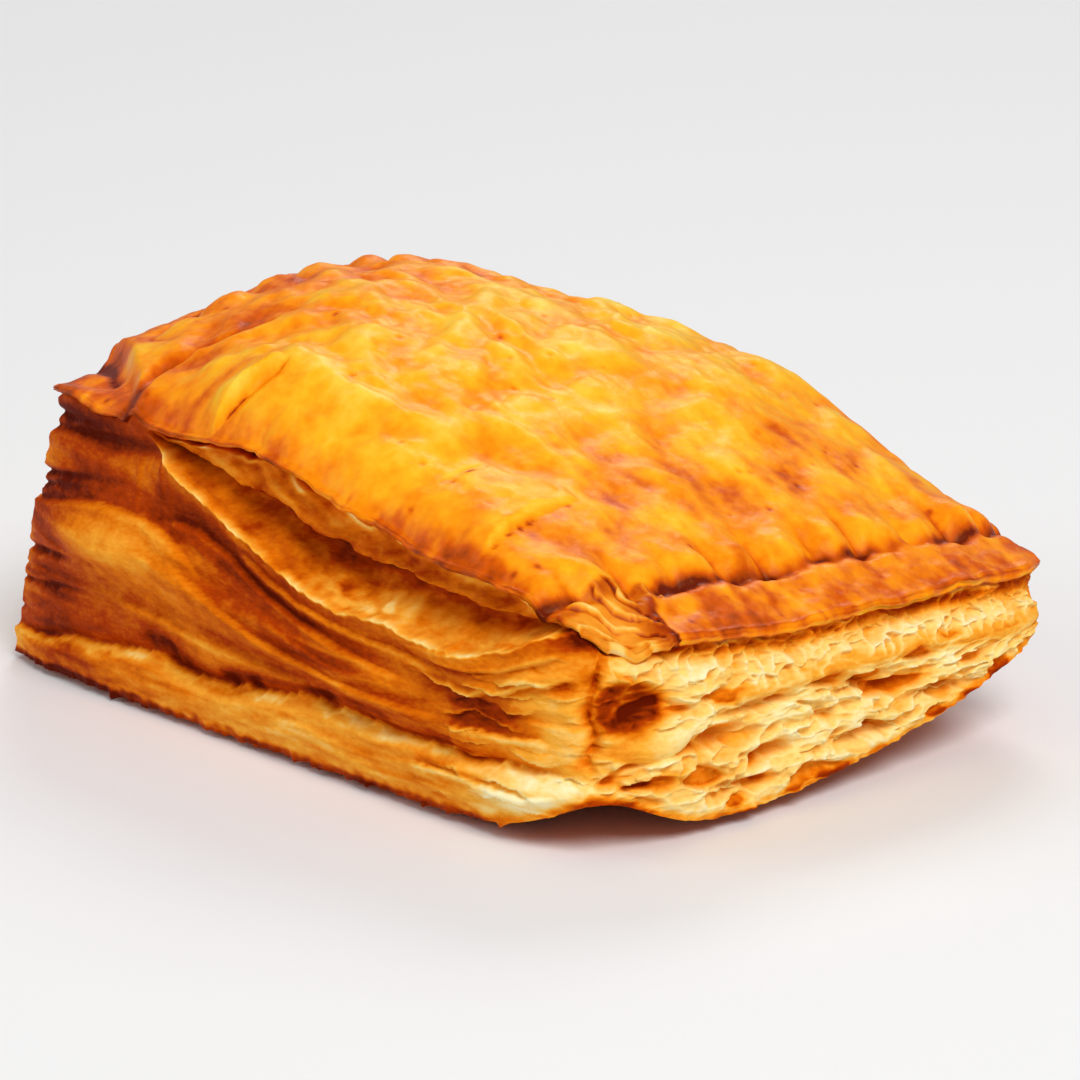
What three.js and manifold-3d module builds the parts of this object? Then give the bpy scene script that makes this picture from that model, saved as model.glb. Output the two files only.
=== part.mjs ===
// Tuna puff: a closed, uncut pillow of puff pastry, as one solid.
// Millimetres, +Z up, standing on the XY plane, centred over its box.
// A long side faces -Y, the tall end faces -X and the low, crimped end faces +X.

import * as THREE from 'three';
import Module from 'manifold-3d';
import { mergeVertices } from 'three/addons/utils/BufferGeometryUtils.js';

// Driving sizes
const LENGTH = 108; // crust edge, end to end
const WIDTH = 80; // crust edge, side to side
const DOME_RISE = 12.5; // middle of the top above the sheet that its edges span
const LAYERS = 8; // folds of pastry that show in the walls
const CRIMPS_PER_END = 10;

// Each corner: side signs, crust edge (outward shift, height), base (outward spread, upward curl)
const CORNERS = [
  { sx: -1, sy: -1, edgeOut: [-1.0, 1.5], edgeZ: 37.5, baseOut: [7.0, 5.0], curl: 0, curlPower: 6 },
  { sx: 1, sy: -1, edgeOut: [0.0, -0.5], edgeZ: 27.5, baseOut: [0.0, 0.5], curl: 3.5, curlPower: 9 },
  { sx: 1, sy: 1, edgeOut: [0.0, 0.5], edgeZ: 21.5, baseOut: [1.5, -0.5], curl: 13.0, curlPower: 2.6 },
  { sx: -1, sy: 1, edgeOut: [0.0, -1.0], edgeZ: 37.0, baseOut: [3.0, 1.0], curl: 0, curlPower: 6 },
];
const ROUNDING = { share: 0.05, power: 7 }; // how far the corners are drawn in on plan

// Rises of the crust's edge between the corners; places and widths are shares of the half length or width
const FRONT_HUMPS = [
  { at: -0.22, wide: 0.3, rise: 4.6 },
  { at: 0.62, wide: 0.25, rise: 1.8 },
];
const BACK_HUMP = { at: 0.18, wide: 0.42, rise: 6 };
const TALL_END_BOW = { rise: 9, power: 1.4, lean: 0.3 };
const CRIMPED_END_SAG = { at: -0.3, wide: 0.45, drop: 1.6, power: 4 };
const DOME = { lean: 0.18, fullLong: 2.3, fullAcross: 3.4 }; // lean to the tall end, fullness each way

// Crimped ends, measured inward from the crust's edge
const CRIMP_GROOVE = { at: 5, wide: 1.5, deep: 1.3 };
const CRIMP_RIDGE = { start: 4.5, full: 7, fade: 10, end: 18, deep: 1.7 };
const EAR = { x: -45, y: -35, wide: 6, rise: 0.8 }; // lobe of crust at the tall front corner
const EAR_CREASE = { x: -34, lean: 0.35, wide: 2.2, deep: 2.2, reach: 13 };

// Vent slits run in from the front edge; the crust is lifted on one side of each and sunk on the other
const SLITS = [
  { x: -14, lean: 0.4, start: -39, end: -30 },
  { x: 21, lean: 0.2, start: -36, end: -28 },
  { x: 32, lean: 0.1, start: -38, end: -25 },
];
const SLIT_LIP = { wide: 1.9, rise: 1.3, sink: 0.8, fade: 3 };
const TORN_CORNER = { x: 53, y: -34, wide: 6, drop: 2.4 }; // crust broken away at the front corner
const BLISTER = { rise: 0.35, across: 4.25, along: 5.25, bend: 1.2 };

// Walls
const CRUST = { proud: 0.9, from: 0.94, blend: 0.02 }; // the crust's edge stands out over the wall below it
const CREASE = { below: 3.0, wide: 1.6, deep: 1.7 };
const LAYER_RELIEF = { side: 0.45, end: 0.65, least: 0.45, step: 2.4 };
const LAYER_PATCH = { least: 0.6, wave: 17, step: 2.1 }; // unevenness along a layer
const LAYER_DRIFT = { rise: 1.5, wave: 62, turn: 4 }; // slow rise and fall of the layers along a wall
const POCKET = { from: -27, to: 50, drop: 11.5, roundness: 0.4, deep: 5.6, mouth: 0.2, hollow: 0.8 };
const LIP = { proud: 1.6, wide: 1.4, below: 0.5 }; // thin edge of the peeled sheet under the pocket
const BULGE = { x: -32, z: 20.5, long: 15, tall: 4.2, proud: 3.4 };
const FOLD = { x: -26, z: 19, slope: -0.13, tall: 2.6, proud: 1.3, swell: 8, fade: 44, end: 70 };
const BASE_CRACK = { z: 8.8, wide: 1.5, deep: 1.5 };
const BASE_BAND = { proud: 0.7, soft: 1.5, foot: 2.5 };
const RAGGED = [{ rise: 0.6, wave: 6 }, { rise: 0.4, wave: 2.7 }]; // wander of the base crack
const CORNER_CRACK = { wide: 4.0, deep: 2.6, foot: 0.15, power: 8 };
const END_HOLLOW = { y: -32.5, z: 19.5, long: 4.0, tall: 2.6, deep: 2.8 };
const END_LEAF = { y: -29, z: 12.0, long: 6.0, tall: 3.0, proud: 1.4 };
const MID_SEAM = { z: 17, wide: 1.3, deep: 0.9 }; // seam half way up the crimped end
const BACK_FOLD = { x: 6, z: 17, long: 30, tall: 4, proud: 1.8 };

// Underside: its edge turns up a little, its middle hangs lower and is cut flat
const BASE = { edge: 0.8, sag: 2.0, power: 8 };
const HEEL_NOTCH = { at: -0.84, wide: 0.14, rise: 5, from: 0.5 }; // lifted beside the front corner

// Mesh
const STEPS = { x: 50, y: 4 * CRIMPS_PER_END, z: 2 * LAYERS };
const END_CROWDING = 0.2; // draws the length steps toward both ends
const WALL_POWER = 16; // how sharply the outward direction turns at a corner
const RIM_POWER = 24; // how fast wall relief dies away over the top and underside
const CORNER_FADE = 12; // how late a side's own relief dies away toward its corners
const MERGE = 1e-4;
const CUT_DEPTH = 20;

const CRUST_COLOUR = 0xd98a26;

const { clamp, lerp } = THREE.MathUtils;
const turn = 2 * Math.PI;
const smooth = (low, high, value) => THREE.MathUtils.smoothstep(value, low, high);
const bell = (value, centre, width) => Math.exp(-(((value - centre) / width) ** 2));
const oval = (along, z, shape) => bell(along, 0, shape.long) * bell(z, shape.z, shape.tall);

// Share of each corner at a place on the plan, where a and b run from -1 to 1
function cornerShares(a, b) {
  return CORNERS.map(({ sx, sy }) => ((1 + sx * a) / 2) * ((1 + sy * b) / 2));
}

function blend(shares, pick) {
  return CORNERS.reduce((sum, corner, i) => sum + pick(corner, shares[i]), 0);
}

// Height of the crust's edge, carried smoothly across the plan
function edgeHeight(a, b) {
  const front = (1 - b) / 2;
  const back = (1 + b) / 2;
  const crimped = (1 + a) / 2;
  const tall = (1 - a) / 2;
  let z = blend(cornerShares(a, b), (corner, share) => share * corner.edgeZ);
  for (const hump of FRONT_HUMPS) z += hump.rise * bell(a, hump.at, hump.wide) * front ** 2;
  z += BACK_HUMP.rise * bell(a, BACK_HUMP.at, BACK_HUMP.wide) * back ** 2;
  const bow = (1 - b * b) ** TALL_END_BOW.power * (1 + TALL_END_BOW.lean * b);
  z += TALL_END_BOW.rise * bow * tall ** 2;
  const { at, wide, drop, power } = CRIMPED_END_SAG;
  return z - drop * bell(b, at, wide) * crimped ** power;
}

function domeHeight(a, b) {
  const along = a + DOME.lean * (1 - a * a);
  return DOME_RISE * (1 - Math.abs(along) ** DOME.fullLong) * (1 - Math.abs(b) ** DOME.fullAcross);
}

// Rounded ridges with narrow valleys, pressed into the crust along both ends behind a groove
function crimpRelief(a, b) {
  const inward = ((1 - Math.abs(a)) * LENGTH) / 2;
  const valley = 1 - Math.abs(Math.cos((Math.PI * CRIMPS_PER_END * b) / 2));
  const rise = smooth(CRIMP_RIDGE.start, CRIMP_RIDGE.full, inward);
  const fall = 1 - smooth(CRIMP_RIDGE.fade, CRIMP_RIDGE.end, inward);
  const groove = CRIMP_GROOVE.deep * bell(inward, CRIMP_GROOVE.at, CRIMP_GROOVE.wide);
  return -CRIMP_RIDGE.deep * valley * rise * fall - groove;
}

// The lobe at the tall front corner and the crease that parts it from the rest of the crust
function earRelief(x, y) {
  const lobe = EAR.rise * bell(x, EAR.x, EAR.wide) * bell(y, EAR.y, EAR.wide);
  const inward = y + WIDTH / 2;
  const across = x - EAR_CREASE.x + EAR_CREASE.lean * inward;
  return lobe - EAR_CREASE.deep * bell(across, 0, EAR_CREASE.wide) * bell(inward, 0, EAR_CREASE.reach);
}

function slitRelief(x, y) {
  const { wide, rise, sink, fade } = SLIT_LIP;
  let relief = 0;
  for (const slit of SLITS) {
    const across = x - slit.x - slit.lean * (y - slit.start);
    const begun = smooth(slit.start - fade, slit.start, y);
    const ended = smooth(slit.end, slit.end + fade, y);
    relief += (across < 0 ? rise : -sink) * bell(across, 0, wide) * begun * (1 - ended);
  }
  return relief;
}

function blisterRelief(x, y) {
  const { rise, across, along, bend } = BLISTER;
  const first = Math.sin(x / along + bend * Math.sin(y / across / 2));
  const second = Math.sin(y / across + bend * Math.sin(x / along / 2));
  return rise * first * second;
}

function topRelief(a, b, x, y) {
  const torn = bell(x, TORN_CORNER.x, TORN_CORNER.wide) * bell(y, TORN_CORNER.y, TORN_CORNER.wide);
  const pressed = crimpRelief(a, b) - TORN_CORNER.drop * torn;
  return pressed + earRelief(x, y) + slitRelief(x, y) + blisterRelief(x, y);
}

// Pastry layers: every second step of height stands out, unevenly along the wall
function layerRelief(t, along) {
  const layer = Math.round(LAYERS * t);
  const pick = Math.abs(Math.sin(LAYER_RELIEF.step * layer + 1));
  const patch = Math.sin((turn * along) / LAYER_PATCH.wave + LAYER_PATCH.step * layer);
  const strength = lerp(LAYER_RELIEF.least, 1, pick);
  return strength * lerp(LAYER_PATCH.least, 1, patch) * Math.cos(turn * LAYERS * t);
}

function layerDrift(t, along) {
  const swing = Math.sin((turn * along) / LAYER_DRIFT.wave + LAYER_DRIFT.turn * t);
  return 4 * t * (1 - t) * LAYER_DRIFT.rise * swing;
}

// The front's peeled sheet: a lens-shaped pocket under the crust, open above a thin lip
function pocketRelief(x, belowEdge) {
  const span = clamp((x - POCKET.from) / (POCKET.to - POCKET.from), 0, 1);
  const opening = Math.sin(Math.PI * span) ** POCKET.roundness;
  const drop = Math.max(POCKET.drop * opening, 1);
  const aboveLip = drop - belowEdge;
  const level = clamp(aboveLip / drop, 0, 1);
  const depth = POCKET.deep * smooth(0, POCKET.mouth, level) * (1 - level) ** POCKET.hollow;
  return opening * (LIP.proud * bell(aboveLip, -LIP.below, LIP.wide) - depth);
}

// A ragged crack near the bottom of the long sides, over a band of base that stands out
function baseCrack(x, z) {
  const crackZ = RAGGED.reduce((sum, { rise, wave }) => sum + rise * Math.sin(x / wave), BASE_CRACK.z);
  const under = 1 - smooth(crackZ - BASE_BAND.soft, crackZ, z);
  const band = BASE_BAND.proud * under * smooth(0, BASE_BAND.foot, z);
  return band - BASE_CRACK.deep * bell(z, crackZ, BASE_CRACK.wide);
}

// A bulge toward the tall end, and the fold that runs on from it and sinks along the side
function frontRelief(x, z, belowEdge) {
  const slide = x - FOLD.x;
  const reach = smooth(0, FOLD.swell, slide) * (1 - smooth(FOLD.fade, FOLD.end, slide));
  const fold = FOLD.proud * reach * bell(z, FOLD.z + FOLD.slope * slide, FOLD.tall);
  const bulge = BULGE.proud * oval(x - BULGE.x, z, BULGE);
  return pocketRelief(x, belowEdge) + bulge + fold + baseCrack(x, z);
}

function backRelief(x, z) {
  return BACK_FOLD.proud * oval(x - BACK_FOLD.x, z, BACK_FOLD) + baseCrack(x, z);
}

function crimpedEndRelief(y, z) {
  const seam = MID_SEAM.deep * bell(z, MID_SEAM.z, MID_SEAM.wide);
  const hollow = END_HOLLOW.deep * oval(y - END_HOLLOW.y, z, END_HOLLOW);
  const leaf = END_LEAF.proud * oval(y - END_LEAF.y, z, END_LEAF);
  return leaf - seam - hollow;
}

// The upright crack at the front corner, between the long side and the crimped end
function cornerCrack(x, y, t) {
  const away = Math.hypot(x - LENGTH / 2, y + WIDTH / 2);
  const { wide, deep, foot, power } = CORNER_CRACK;
  return -deep * bell(away, 0, wide) * smooth(0, foot, t) * (1 - t ** power);
}

// How far a wall stands out at x, y, z, at the share t of the way up to the crust's edge
function wallRelief(a, b, t, x, y, z, belowEdge) {
  const longSide = Math.abs(b) >= Math.abs(a);
  const depth = longSide ? LAYER_RELIEF.side : LAYER_RELIEF.end;
  const underCrust = 1 - smooth(CRUST.from - 0.1, CRUST.from, t);
  let relief = depth * layerRelief(t, longSide ? x : y) * smooth(0, 0.08, t) * underCrust;
  relief += CRUST.proud * smooth(CRUST.from - CRUST.blend, CRUST.from + CRUST.blend, t);
  relief -= CREASE.deep * bell(belowEdge, CREASE.below, CREASE.wide) * (1 - smooth(CRUST.from, 1, t));
  let own = 0;
  if (longSide) own = b < 0 ? frontRelief(x, z, belowEdge) : backRelief(x, z);
  else if (a > 0) own = crimpedEndRelief(y, z);
  return relief + own * (1 - (a * b) ** CORNER_FADE) + cornerCrack(x, y, t);
}

// Height of the underside: curled up at two corners, lifted beside the front corner
function baseHeight(a, b, shares) {
  const curl = blend(shares, (corner, share) => corner.curl * share ** corner.curlPower);
  const sag = BASE.sag * (1 - a ** BASE.power) * (1 - b ** BASE.power);
  const notch = HEEL_NOTCH.rise * bell(b, HEEL_NOTCH.at, HEEL_NOTCH.wide) * smooth(HEEL_NOTCH.from, 1, a);
  return BASE.edge + curl + notch - sag;
}

// Moves a point of a cube's surface (a, b, c from -1 to 1) to its place on the puff
function puffPoint(a, b, c) {
  const t = (c + 1) / 2;
  const planA = a * (1 - ROUNDING.share * Math.abs(b) ** ROUNDING.power);
  const planB = b * (1 - ROUNDING.share * Math.abs(a) ** ROUNDING.power);
  const shares = cornerShares(planA, planB);
  const out = (corner, axis) => lerp(corner.baseOut[axis], corner.edgeOut[axis], t);
  const x = blend(shares, (corner, share) => share * corner.sx * (LENGTH / 2 + out(corner, 0)));
  const y = blend(shares, (corner, share) => share * corner.sy * (WIDTH / 2 + out(corner, 1)));
  const edge = edgeHeight(a, b);
  const top = edge + domeHeight(a, b) + topRelief(a, b, x, y);
  const along = Math.abs(b) >= Math.abs(a) ? x : y;
  const z = lerp(baseHeight(a, b, shares), top, t) + layerDrift(t, along);
  const outA = Math.sign(a) * Math.abs(a) ** WALL_POWER;
  const outB = Math.sign(b) * Math.abs(b) ** WALL_POWER;
  const reach = Math.max(Math.hypot(outA, outB), Number.MIN_VALUE);
  const rim = Math.max(Math.abs(a), Math.abs(b)) ** RIM_POWER;
  const relief = rim * wallRelief(a, b, t, x, y, z, edge - z);
  return [x + (outA / reach) * relief, y + (outB / reach) * relief, z];
}

// A box geometry with only its corner points left, each shared by the faces that meet there
function bareBox(...sizes) {
  const box = new THREE.BoxGeometry(...sizes);
  box.deleteAttribute('normal');
  box.deleteAttribute('uv');
  return mergeVertices(box, MERGE);
}

function shapedPillow() {
  const pillow = bareBox(2, 2, 2, STEPS.x, STEPS.y, STEPS.z);
  const position = pillow.getAttribute('position');
  for (let i = 0; i < position.count; i += 1) {
    const step = position.getX(i);
    const a = clamp(step * (1 + END_CROWDING - END_CROWDING * step * step), -1, 1);
    position.setXYZ(i, ...puffPoint(a, position.getY(i), position.getZ(i)));
  }
  return pillow;
}

// Everything under the plane z = 0 is cut away, which leaves the flat face that the puff rests on
async function cutFlat(pillow) {
  const wasm = await Module();
  wasm.setup();
  const toSolid = (shape) => new wasm.Manifold(new wasm.Mesh({
    numProp: 3,
    vertProperties: new Float32Array(shape.getAttribute('position').array),
    triVerts: new Uint32Array(shape.getIndex().array),
  }));
  const block = bareBox(2 * LENGTH, 2 * WIDTH, CUT_DEPTH);
  block.translate(0, 0, -CUT_DEPTH / 2);
  const mesh = toSolid(pillow).subtract(toSolid(block)).getMesh();
  const result = new THREE.BufferGeometry();
  result.setAttribute('position', new THREE.BufferAttribute(new Float32Array(mesh.vertProperties), 3));
  result.setIndex(new THREE.BufferAttribute(new Uint32Array(mesh.triVerts), 1));
  return result;
}

function centred(geometry) {
  geometry.computeBoundingBox();
  const middle = geometry.boundingBox.getCenter(new THREE.Vector3());
  geometry.translate(-middle.x, -middle.y, -geometry.boundingBox.min.z);
  geometry.computeVertexNormals();
  return geometry;
}

const crust = new THREE.MeshStandardMaterial({ color: CRUST_COLOUR, roughness: 0.45, metalness: 0 });
const puff = new THREE.Mesh(centred(await cutFlat(shapedPillow())), crust);
puff.name = 'puff';

const part = new THREE.Group();
part.add(puff);

export default part;
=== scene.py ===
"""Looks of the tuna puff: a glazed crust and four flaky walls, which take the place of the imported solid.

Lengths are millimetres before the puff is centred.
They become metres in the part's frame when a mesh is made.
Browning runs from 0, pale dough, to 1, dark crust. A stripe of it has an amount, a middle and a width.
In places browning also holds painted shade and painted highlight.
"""

from types import SimpleNamespace as Sizes

import bmesh
import bpy
import numpy as np
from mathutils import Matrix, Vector


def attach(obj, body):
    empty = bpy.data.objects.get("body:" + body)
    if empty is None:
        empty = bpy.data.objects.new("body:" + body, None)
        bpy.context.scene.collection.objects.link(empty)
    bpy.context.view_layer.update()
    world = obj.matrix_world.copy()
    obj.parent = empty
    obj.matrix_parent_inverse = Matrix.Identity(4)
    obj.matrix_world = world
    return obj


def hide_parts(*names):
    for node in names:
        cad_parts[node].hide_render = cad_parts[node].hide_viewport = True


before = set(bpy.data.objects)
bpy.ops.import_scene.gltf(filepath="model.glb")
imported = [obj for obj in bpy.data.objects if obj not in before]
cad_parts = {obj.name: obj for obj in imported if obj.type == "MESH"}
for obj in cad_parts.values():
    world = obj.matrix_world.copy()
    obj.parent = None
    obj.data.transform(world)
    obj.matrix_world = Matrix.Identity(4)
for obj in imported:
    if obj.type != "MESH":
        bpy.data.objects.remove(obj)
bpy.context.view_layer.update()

MM = 0.001
MIDDLE = (-2.7, -1.8)  # middle of the puff's box before it is centred


def table(names, *rows):
    """Sizes for each row of values, by these names."""
    return [Sizes(**dict(zip(names.split(), row))) for row in rows]


def brown(amount, **fades):
    """A row of browning: its amount, and how it fades by the places that it depends on."""
    return amount, fades


def easing(start, end):
    return lambda value: smooth(start, end, value)


def peak(middle, width):
    return lambda value: bell(value, middle, width)


def both(first, second):
    return lambda value: first(value) * second(value)


def as_is(value):
    return value


# Form of the solid
LENGTH = 108
WIDTH = 80
DOME_RISE = 12.5
CRIMPS_PER_END = 10
CORNERS = table(
    "sx sy edge_out edge_z base_out curl curl_power",
    (-1, -1, (-1, 1.5), 37.5, (7, 5), 0, 6),
    (1, -1, (0, -0.5), 27.5, (0, 0.5), 3.5, 9),
    (1, 1, (0, 0.5), 21.5, (1.5, -0.5), 13, 2.6),
    (-1, 1, (0, -1), 37, (3, 1), 0, 6),
)
ROUNDING = Sizes(share=0.05, power=7)
FRONT_HUMPS = table(
    "at wide rise",
    (-0.22, 0.32, 5.5),
    (0.15, 0.25, 2.9),
    (0.62, 0.25, 2.8),
)
BACK_HUMP = Sizes(at=0.18, wide=0.42, rise=6)
TALL_END_BOW = Sizes(rise=9, power=1.4, lean=0.3)
CRIMPED_END_SAG = Sizes(at=-0.3, wide=0.45, drop=1.6, power=4)
DOME = Sizes(lean=0.18, full_long=2.3, full_across=3.4)
CRIMP_GROOVE = Sizes(at=7.3, wide=1.1, deep=1.3, wander=0.6, full=0.8, uneven=0.8)
CRIMP_RIDGE = Sizes(start=(6.8, 8.5), end=(9, 15), deep=1.7)
CRIMP_VALLEY = Sizes(stray=0.03, full=0.75, uneven=0.7, least=0.3)
CRIMP_PUFF = Sizes(at=10, wide=3.4, rise=1.1)
EAR = Sizes(x=-44, y=-41, long=9, wide=4, rise=1.9)
EAR_FOOT = Sizes(x=-33.5, y=-41, long=4, wide=3, rise=1.5)
EAR_DISH = Sizes(x=-45.5, y=-37, long=4.5, wide=1.8, deep=1)
EAR_PIT = Sizes(line=[(-52.5, -31.5), (-47.5, -33), (-42.5, -35.8)], wide=1.2, deep=0.8)
EAR_STRAP = Sizes(
    line=[(-32.2, -42.5), (-33.6, -39.5), (-36.9, -36.5), (-40.2, -35), (-45, -31.8), (-50, -29.5),
          (-57, -27.5)],
    sharp=0.9, fade=6, rise=2.4, end=(0.8, 1),
)
EAR_CREASE = Sizes(
    line=[(-31.8, -43), (-34, -36.8), (-35, -34), (-33.8, -31.5), (-31.8, -27.5), (-28, -22)],
    wide=1, deep=1.3,
)
EAR_ZONE = Sizes(x=(-26, -36), y=(-22, -32), calm=0.8)
# shade: how much painted shade lies beside each slit's flap
SLITS = table(
    "x lean start end lift sink flap shade",
    (-15.8, 0.36, -40.8, -31.4, 2.4, 0.9, 3.4, 0.16),
    (32.8, -0.1, -39, -22, 0.9, 0.4, 4, 0.06),
    (19.2, 0, -34, -26, 0.25, 0.2, 3, 0),
)
# shade: where the painted shade lies, beside the sunk side and behind the flap
SLIT = Sizes(
    sunk=1.6, wander=0.35, soft=0.45, dots=(0.5, 0.7, 0.35), dots_from=(-0.05, 0.45),
    edge=(-0.2, -0.2, 0.3), flap=-0.1, shade=Sizes(at=1.5, wide=0.9, behind=-1.7, behind_wide=1.6),
)
TORN_CORNER = Sizes(x=53, y=-34, wide=6, drop=3.6)
BLISTER = Sizes(rise=0.35, across=4.25, along=5.25, bend=1.2)
CREASE = Sizes(below=3, wide=1.6, deep=1)
POCKET = Sizes(
    start=(-29, -25), end=(44, 48), deep=5, step=1, lip=(0, 0.05), mouth=(0.05, 0.42), roof=(0.54, 0.66),
    ledge=1.4, gap=2, above=(0.99, 1.05), least=1, highest=1.2, bend=0.06, wrinkled=(0, 0.3),
    wrinkle=(0.8, 0.4), inside=(0, 0.03),
)
LIP = Sizes(proud=1.1, fade=2.5, sharp=0.15, rag=(0.5, 0.35), pale=0.65, uneven=0.9, least=0.1)
LEDGE = Sizes(low=0.4, rag=(0.4, 0.3))
BULGE = Sizes(x=-34, z=21, long=15, tall=3.8, proud=3.6)
FOLD = Sizes(x=-26, z=19, slope=-0.13, tall=2.6, proud=1.3, start=(0, 8), end=(44, 70))
BASE_CRACK = Sizes(wide=1.2, deep=1.1)
BASE_BAND = Sizes(proud=0.7, soft=1.5, foot=2.5)
CORNER_CRACK = Sizes(wide=4, deep=2.6, foot=0.15, power=8)
CORNER_TEAR = Sizes(wide=8, deep=2, high=(0.6, 0.95))
CLEFT = Sizes(
    x=51.3, y=-38, wide=1.5, deep=1.5, near=6, low=(9, 13), high=(21, 24), wander=2.2, rag=1,
)
# brown and heart: painted shade inside the hollow, darkest at its middle
END_HOLLOW = Sizes(
    y=-33, z=17.5, long=4.6, tall=2.9, deep=2.8, brown=0.48, shown=(0.12, 0.5), heart=(0.5, 16.1, 1),
)
END_LEAF = Sizes(y=-30.2, z=12.7, long=6.6, tall=2, proud=1.4, tone=(0.4, 0.1), turn=(-34, -26))
END_LENS = Sizes(y=-19.8, z=12, long=4.4, tall=1.3, deep=1.2, brown=0.3)
END_PATCH = Sizes(y=-29.5, z=8.3, long=4, tall=1.4, brown=0.34)
MID_SEAM = Sizes(z=16.2, drop=1.6, sink=(10, 36), wide=1.2, start=(-22, -16), rag=0.5, proud=1, brown=0.2)
BACK_FOLD = Sizes(x=6, z=17, long=30, tall=4, proud=1.8)
BASE = Sizes(edge=0.8, sag=2, power=8)
HEEL = Sizes(x=51.3, y=-35.5, wide=8, inward=22, rise=4)
WALL_POWER = 16
RIM_POWER = 24
CORNER_FADE = 12
END_SHARP = 40
END_SOFT = 14
ON_FRONT = (-0.9, -1)

# Crust sheet
CRUST = Sizes(
    columns=330, rows=240, roll=0.8, roll_steps=12, uneven=0.6, rim=(0.6, 0.3), tuck=(1.5, 4, 9), drop=1.5,
)
CRUST_THICK = Sizes(side=0.95, end=1.6, ear=1.2, ear_from=(-28, -38), uneven=0.25)
RIM_PUSHES = table(
    "x wide push",
    (-33.6, 1.3, 0.4),
    (-7, 1.3, -0.6),
    (15, 2.5, -0.7),
)
TORN_EDGE = Sizes(x=54, y=-39.5, wide=8, pull=(-3, 4), rag=0.12)  # crust drawn back at the front corner
# inside: painted shadow just inside the torn edge
TEAR = Sizes(
    line=[(46.5, -44), (45.6, -36), (45, -31), (44.6, -27.5), (45.6, -24.6), (47.4, -23.4), (49, -26),
          (51.5, -27), (60, -27)],
    soft=0.4, rag=0.5, drop=-0.4, inside=(0.2, -0.6, 0.7), edge=(-0.1, 0.5, 0.4),
)
# foot: painted shade at each leaf's foot, under the edge of the next; heart: painted shade near the crust
LEAVES = Sizes(
    fan=(57, -25), turn=0.2, step=0.8, bend=0.5, rag=0.2, shown=(-0.3, 0.2), long=3.5, plain=0.5, foot=0.26,
    foot_to=(0.03, 0.22), edge=0.24, edge_from=(0.72, 0.95), mottle=0.12,
    heart=Sizes(x=52, y=-28, long=4, wide=3, brown=0.3),
)
SHOULDER = Sizes(start=(-42, -26), end=(42, 50), lift=1.3, lift_in=(6, 16), drop=1.8, wide=4.5, power=2)
OPEN_TOP = Sizes(side=(1, 9), end=(9, 20))
TEXTURE = Sizes(
    crimped=(0, 35), crimped_swell=0.5, bend=2.5, swell=1.2, small=0.7, level=1, fine=0.2,
    pillow=(-0.55, 0.5), streak=0.12, pimple=0.05, pit=0.25, pit_wide=0.11, pit_pick=0.6, lumps=(0.3, 0.15),
    mottle=(0.6, 0.4),
)
# Browning of the crust, by its amount and how it fades, with painted highlight and painted shade in some rows
CRUST_BROWN_AND_PAINTED_LIGHT = [
    brown(0.46),
    # paler swelling tops: painted highlight
    brown(-0.13, swell=as_is, open_top=as_is),
    brown(0.13, mottle=as_is),
    brown(0.08, streak=as_is),
    brown(0.25, pit=as_is),
    brown(0.05, pimple=as_is),
    brown(0.15, x=easing(5, 42)),
    brown(0.25, x=easing(-8, -38)),
    brown(0.06, end_in=easing(16, 9)),
    brown(0.16, rolled=as_is, side_in=easing(3, 0)),
    brown(0.1, inward=easing(6, 0)),
    brown(0.06, grain=as_is, end_in=easing(CRIMP_GROOVE.at - 1, CRIMP_GROOVE.at - 2)),
    # darker along the pressed crimp groove
    brown(0.16, groove_in=peak(CRIMP_GROOVE.at + 0.2, 0.8), beside_ear=as_is),
    brown(0.2, groove_in=peak(CRIMP_GROOVE.at + 0.2, 0.8), beside_ear=as_is, patchy=easing(-0.6, 0.4)),
    brown(0.15, groove_in=peak(CRIMP_GROOVE.at + 0.4, 1.3), x=easing(*TEXTURE.crimped), y=peak(-21, 9)),
    # darker crimp valleys are painted shade, paler crimp ridges are painted highlight
    brown(0.22, crimped=as_is, valley=easing(0.55, 1)),
    brown(-0.12, crimped=as_is, ridge=as_is),
    # darker ear pit and crease are painted shade; the paler strap is painted highlight
    brown(0.3, ear_pit=peak(0, 1)),
    brown(0.22, ear_crease=peak(0, 1)),
    brown(-0.08, ear=as_is),
    brown(-0.14, strap=as_is),
]
# under: painted shade that darkens the rolled edge as it turns under
CRUST_ROLL = Sizes(
    full=0.8, uneven=0.7, under=0.06, leaf=0.16, fine_leaf=0.5, pale=(0.2, 2, 0.5), pale_from=(0.9, 1),
)
HIDDEN_MIDDLE = (0, 0, 25)  # inside the puff, where hidden faces meet

# Lines on the front wall, by their length x and height z
LIP_LINE = [
    (-62, 36.6), (-29, 36.4), (-27, 35.4), (-25, 33.9), (-21, 31.8), (-16, 30.4), (-12.5, 28.6), (-8, 27.2),
    (-2.5, 25.3), (1.5, 23.7), (6, 22.5), (10, 21.9), (14, 22), (17.5, 22.4), (19, 22), (26, 21.5),
    (31, 21.4), (35, 21.8), (38.5, 22.9), (41, 24.1), (46, 26.5), (60, 28),
]
CRACK_LINE = [
    (-66, 4), (-51, 4.7), (-46.5, 6), (-38, 6.8), (-32.5, 7.4), (-26.5, 8), (-22, 7.1), (-17, 6.7),
    (-11, 6.9), (-6, 7.8), (0, 8.6), (5.5, 9.3), (10, 9.1), (16, 8.8), (22, 8.7), (28.5, 9), (34, 8.6),
    (40, 9), (62, 9),
]
LEDGE_LINE = [
    (-28, 36), (-23, 36.4), (-18.5, 36.6), (-14, 36.6), (-9, 36.7), (-2, 35.9), (4, 34.6), (10, 33.2),
    (16, 32.2), (22, 31.4), (28, 30.8), (34, 30.2), (40, 29), (48, 26.6),
]
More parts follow.
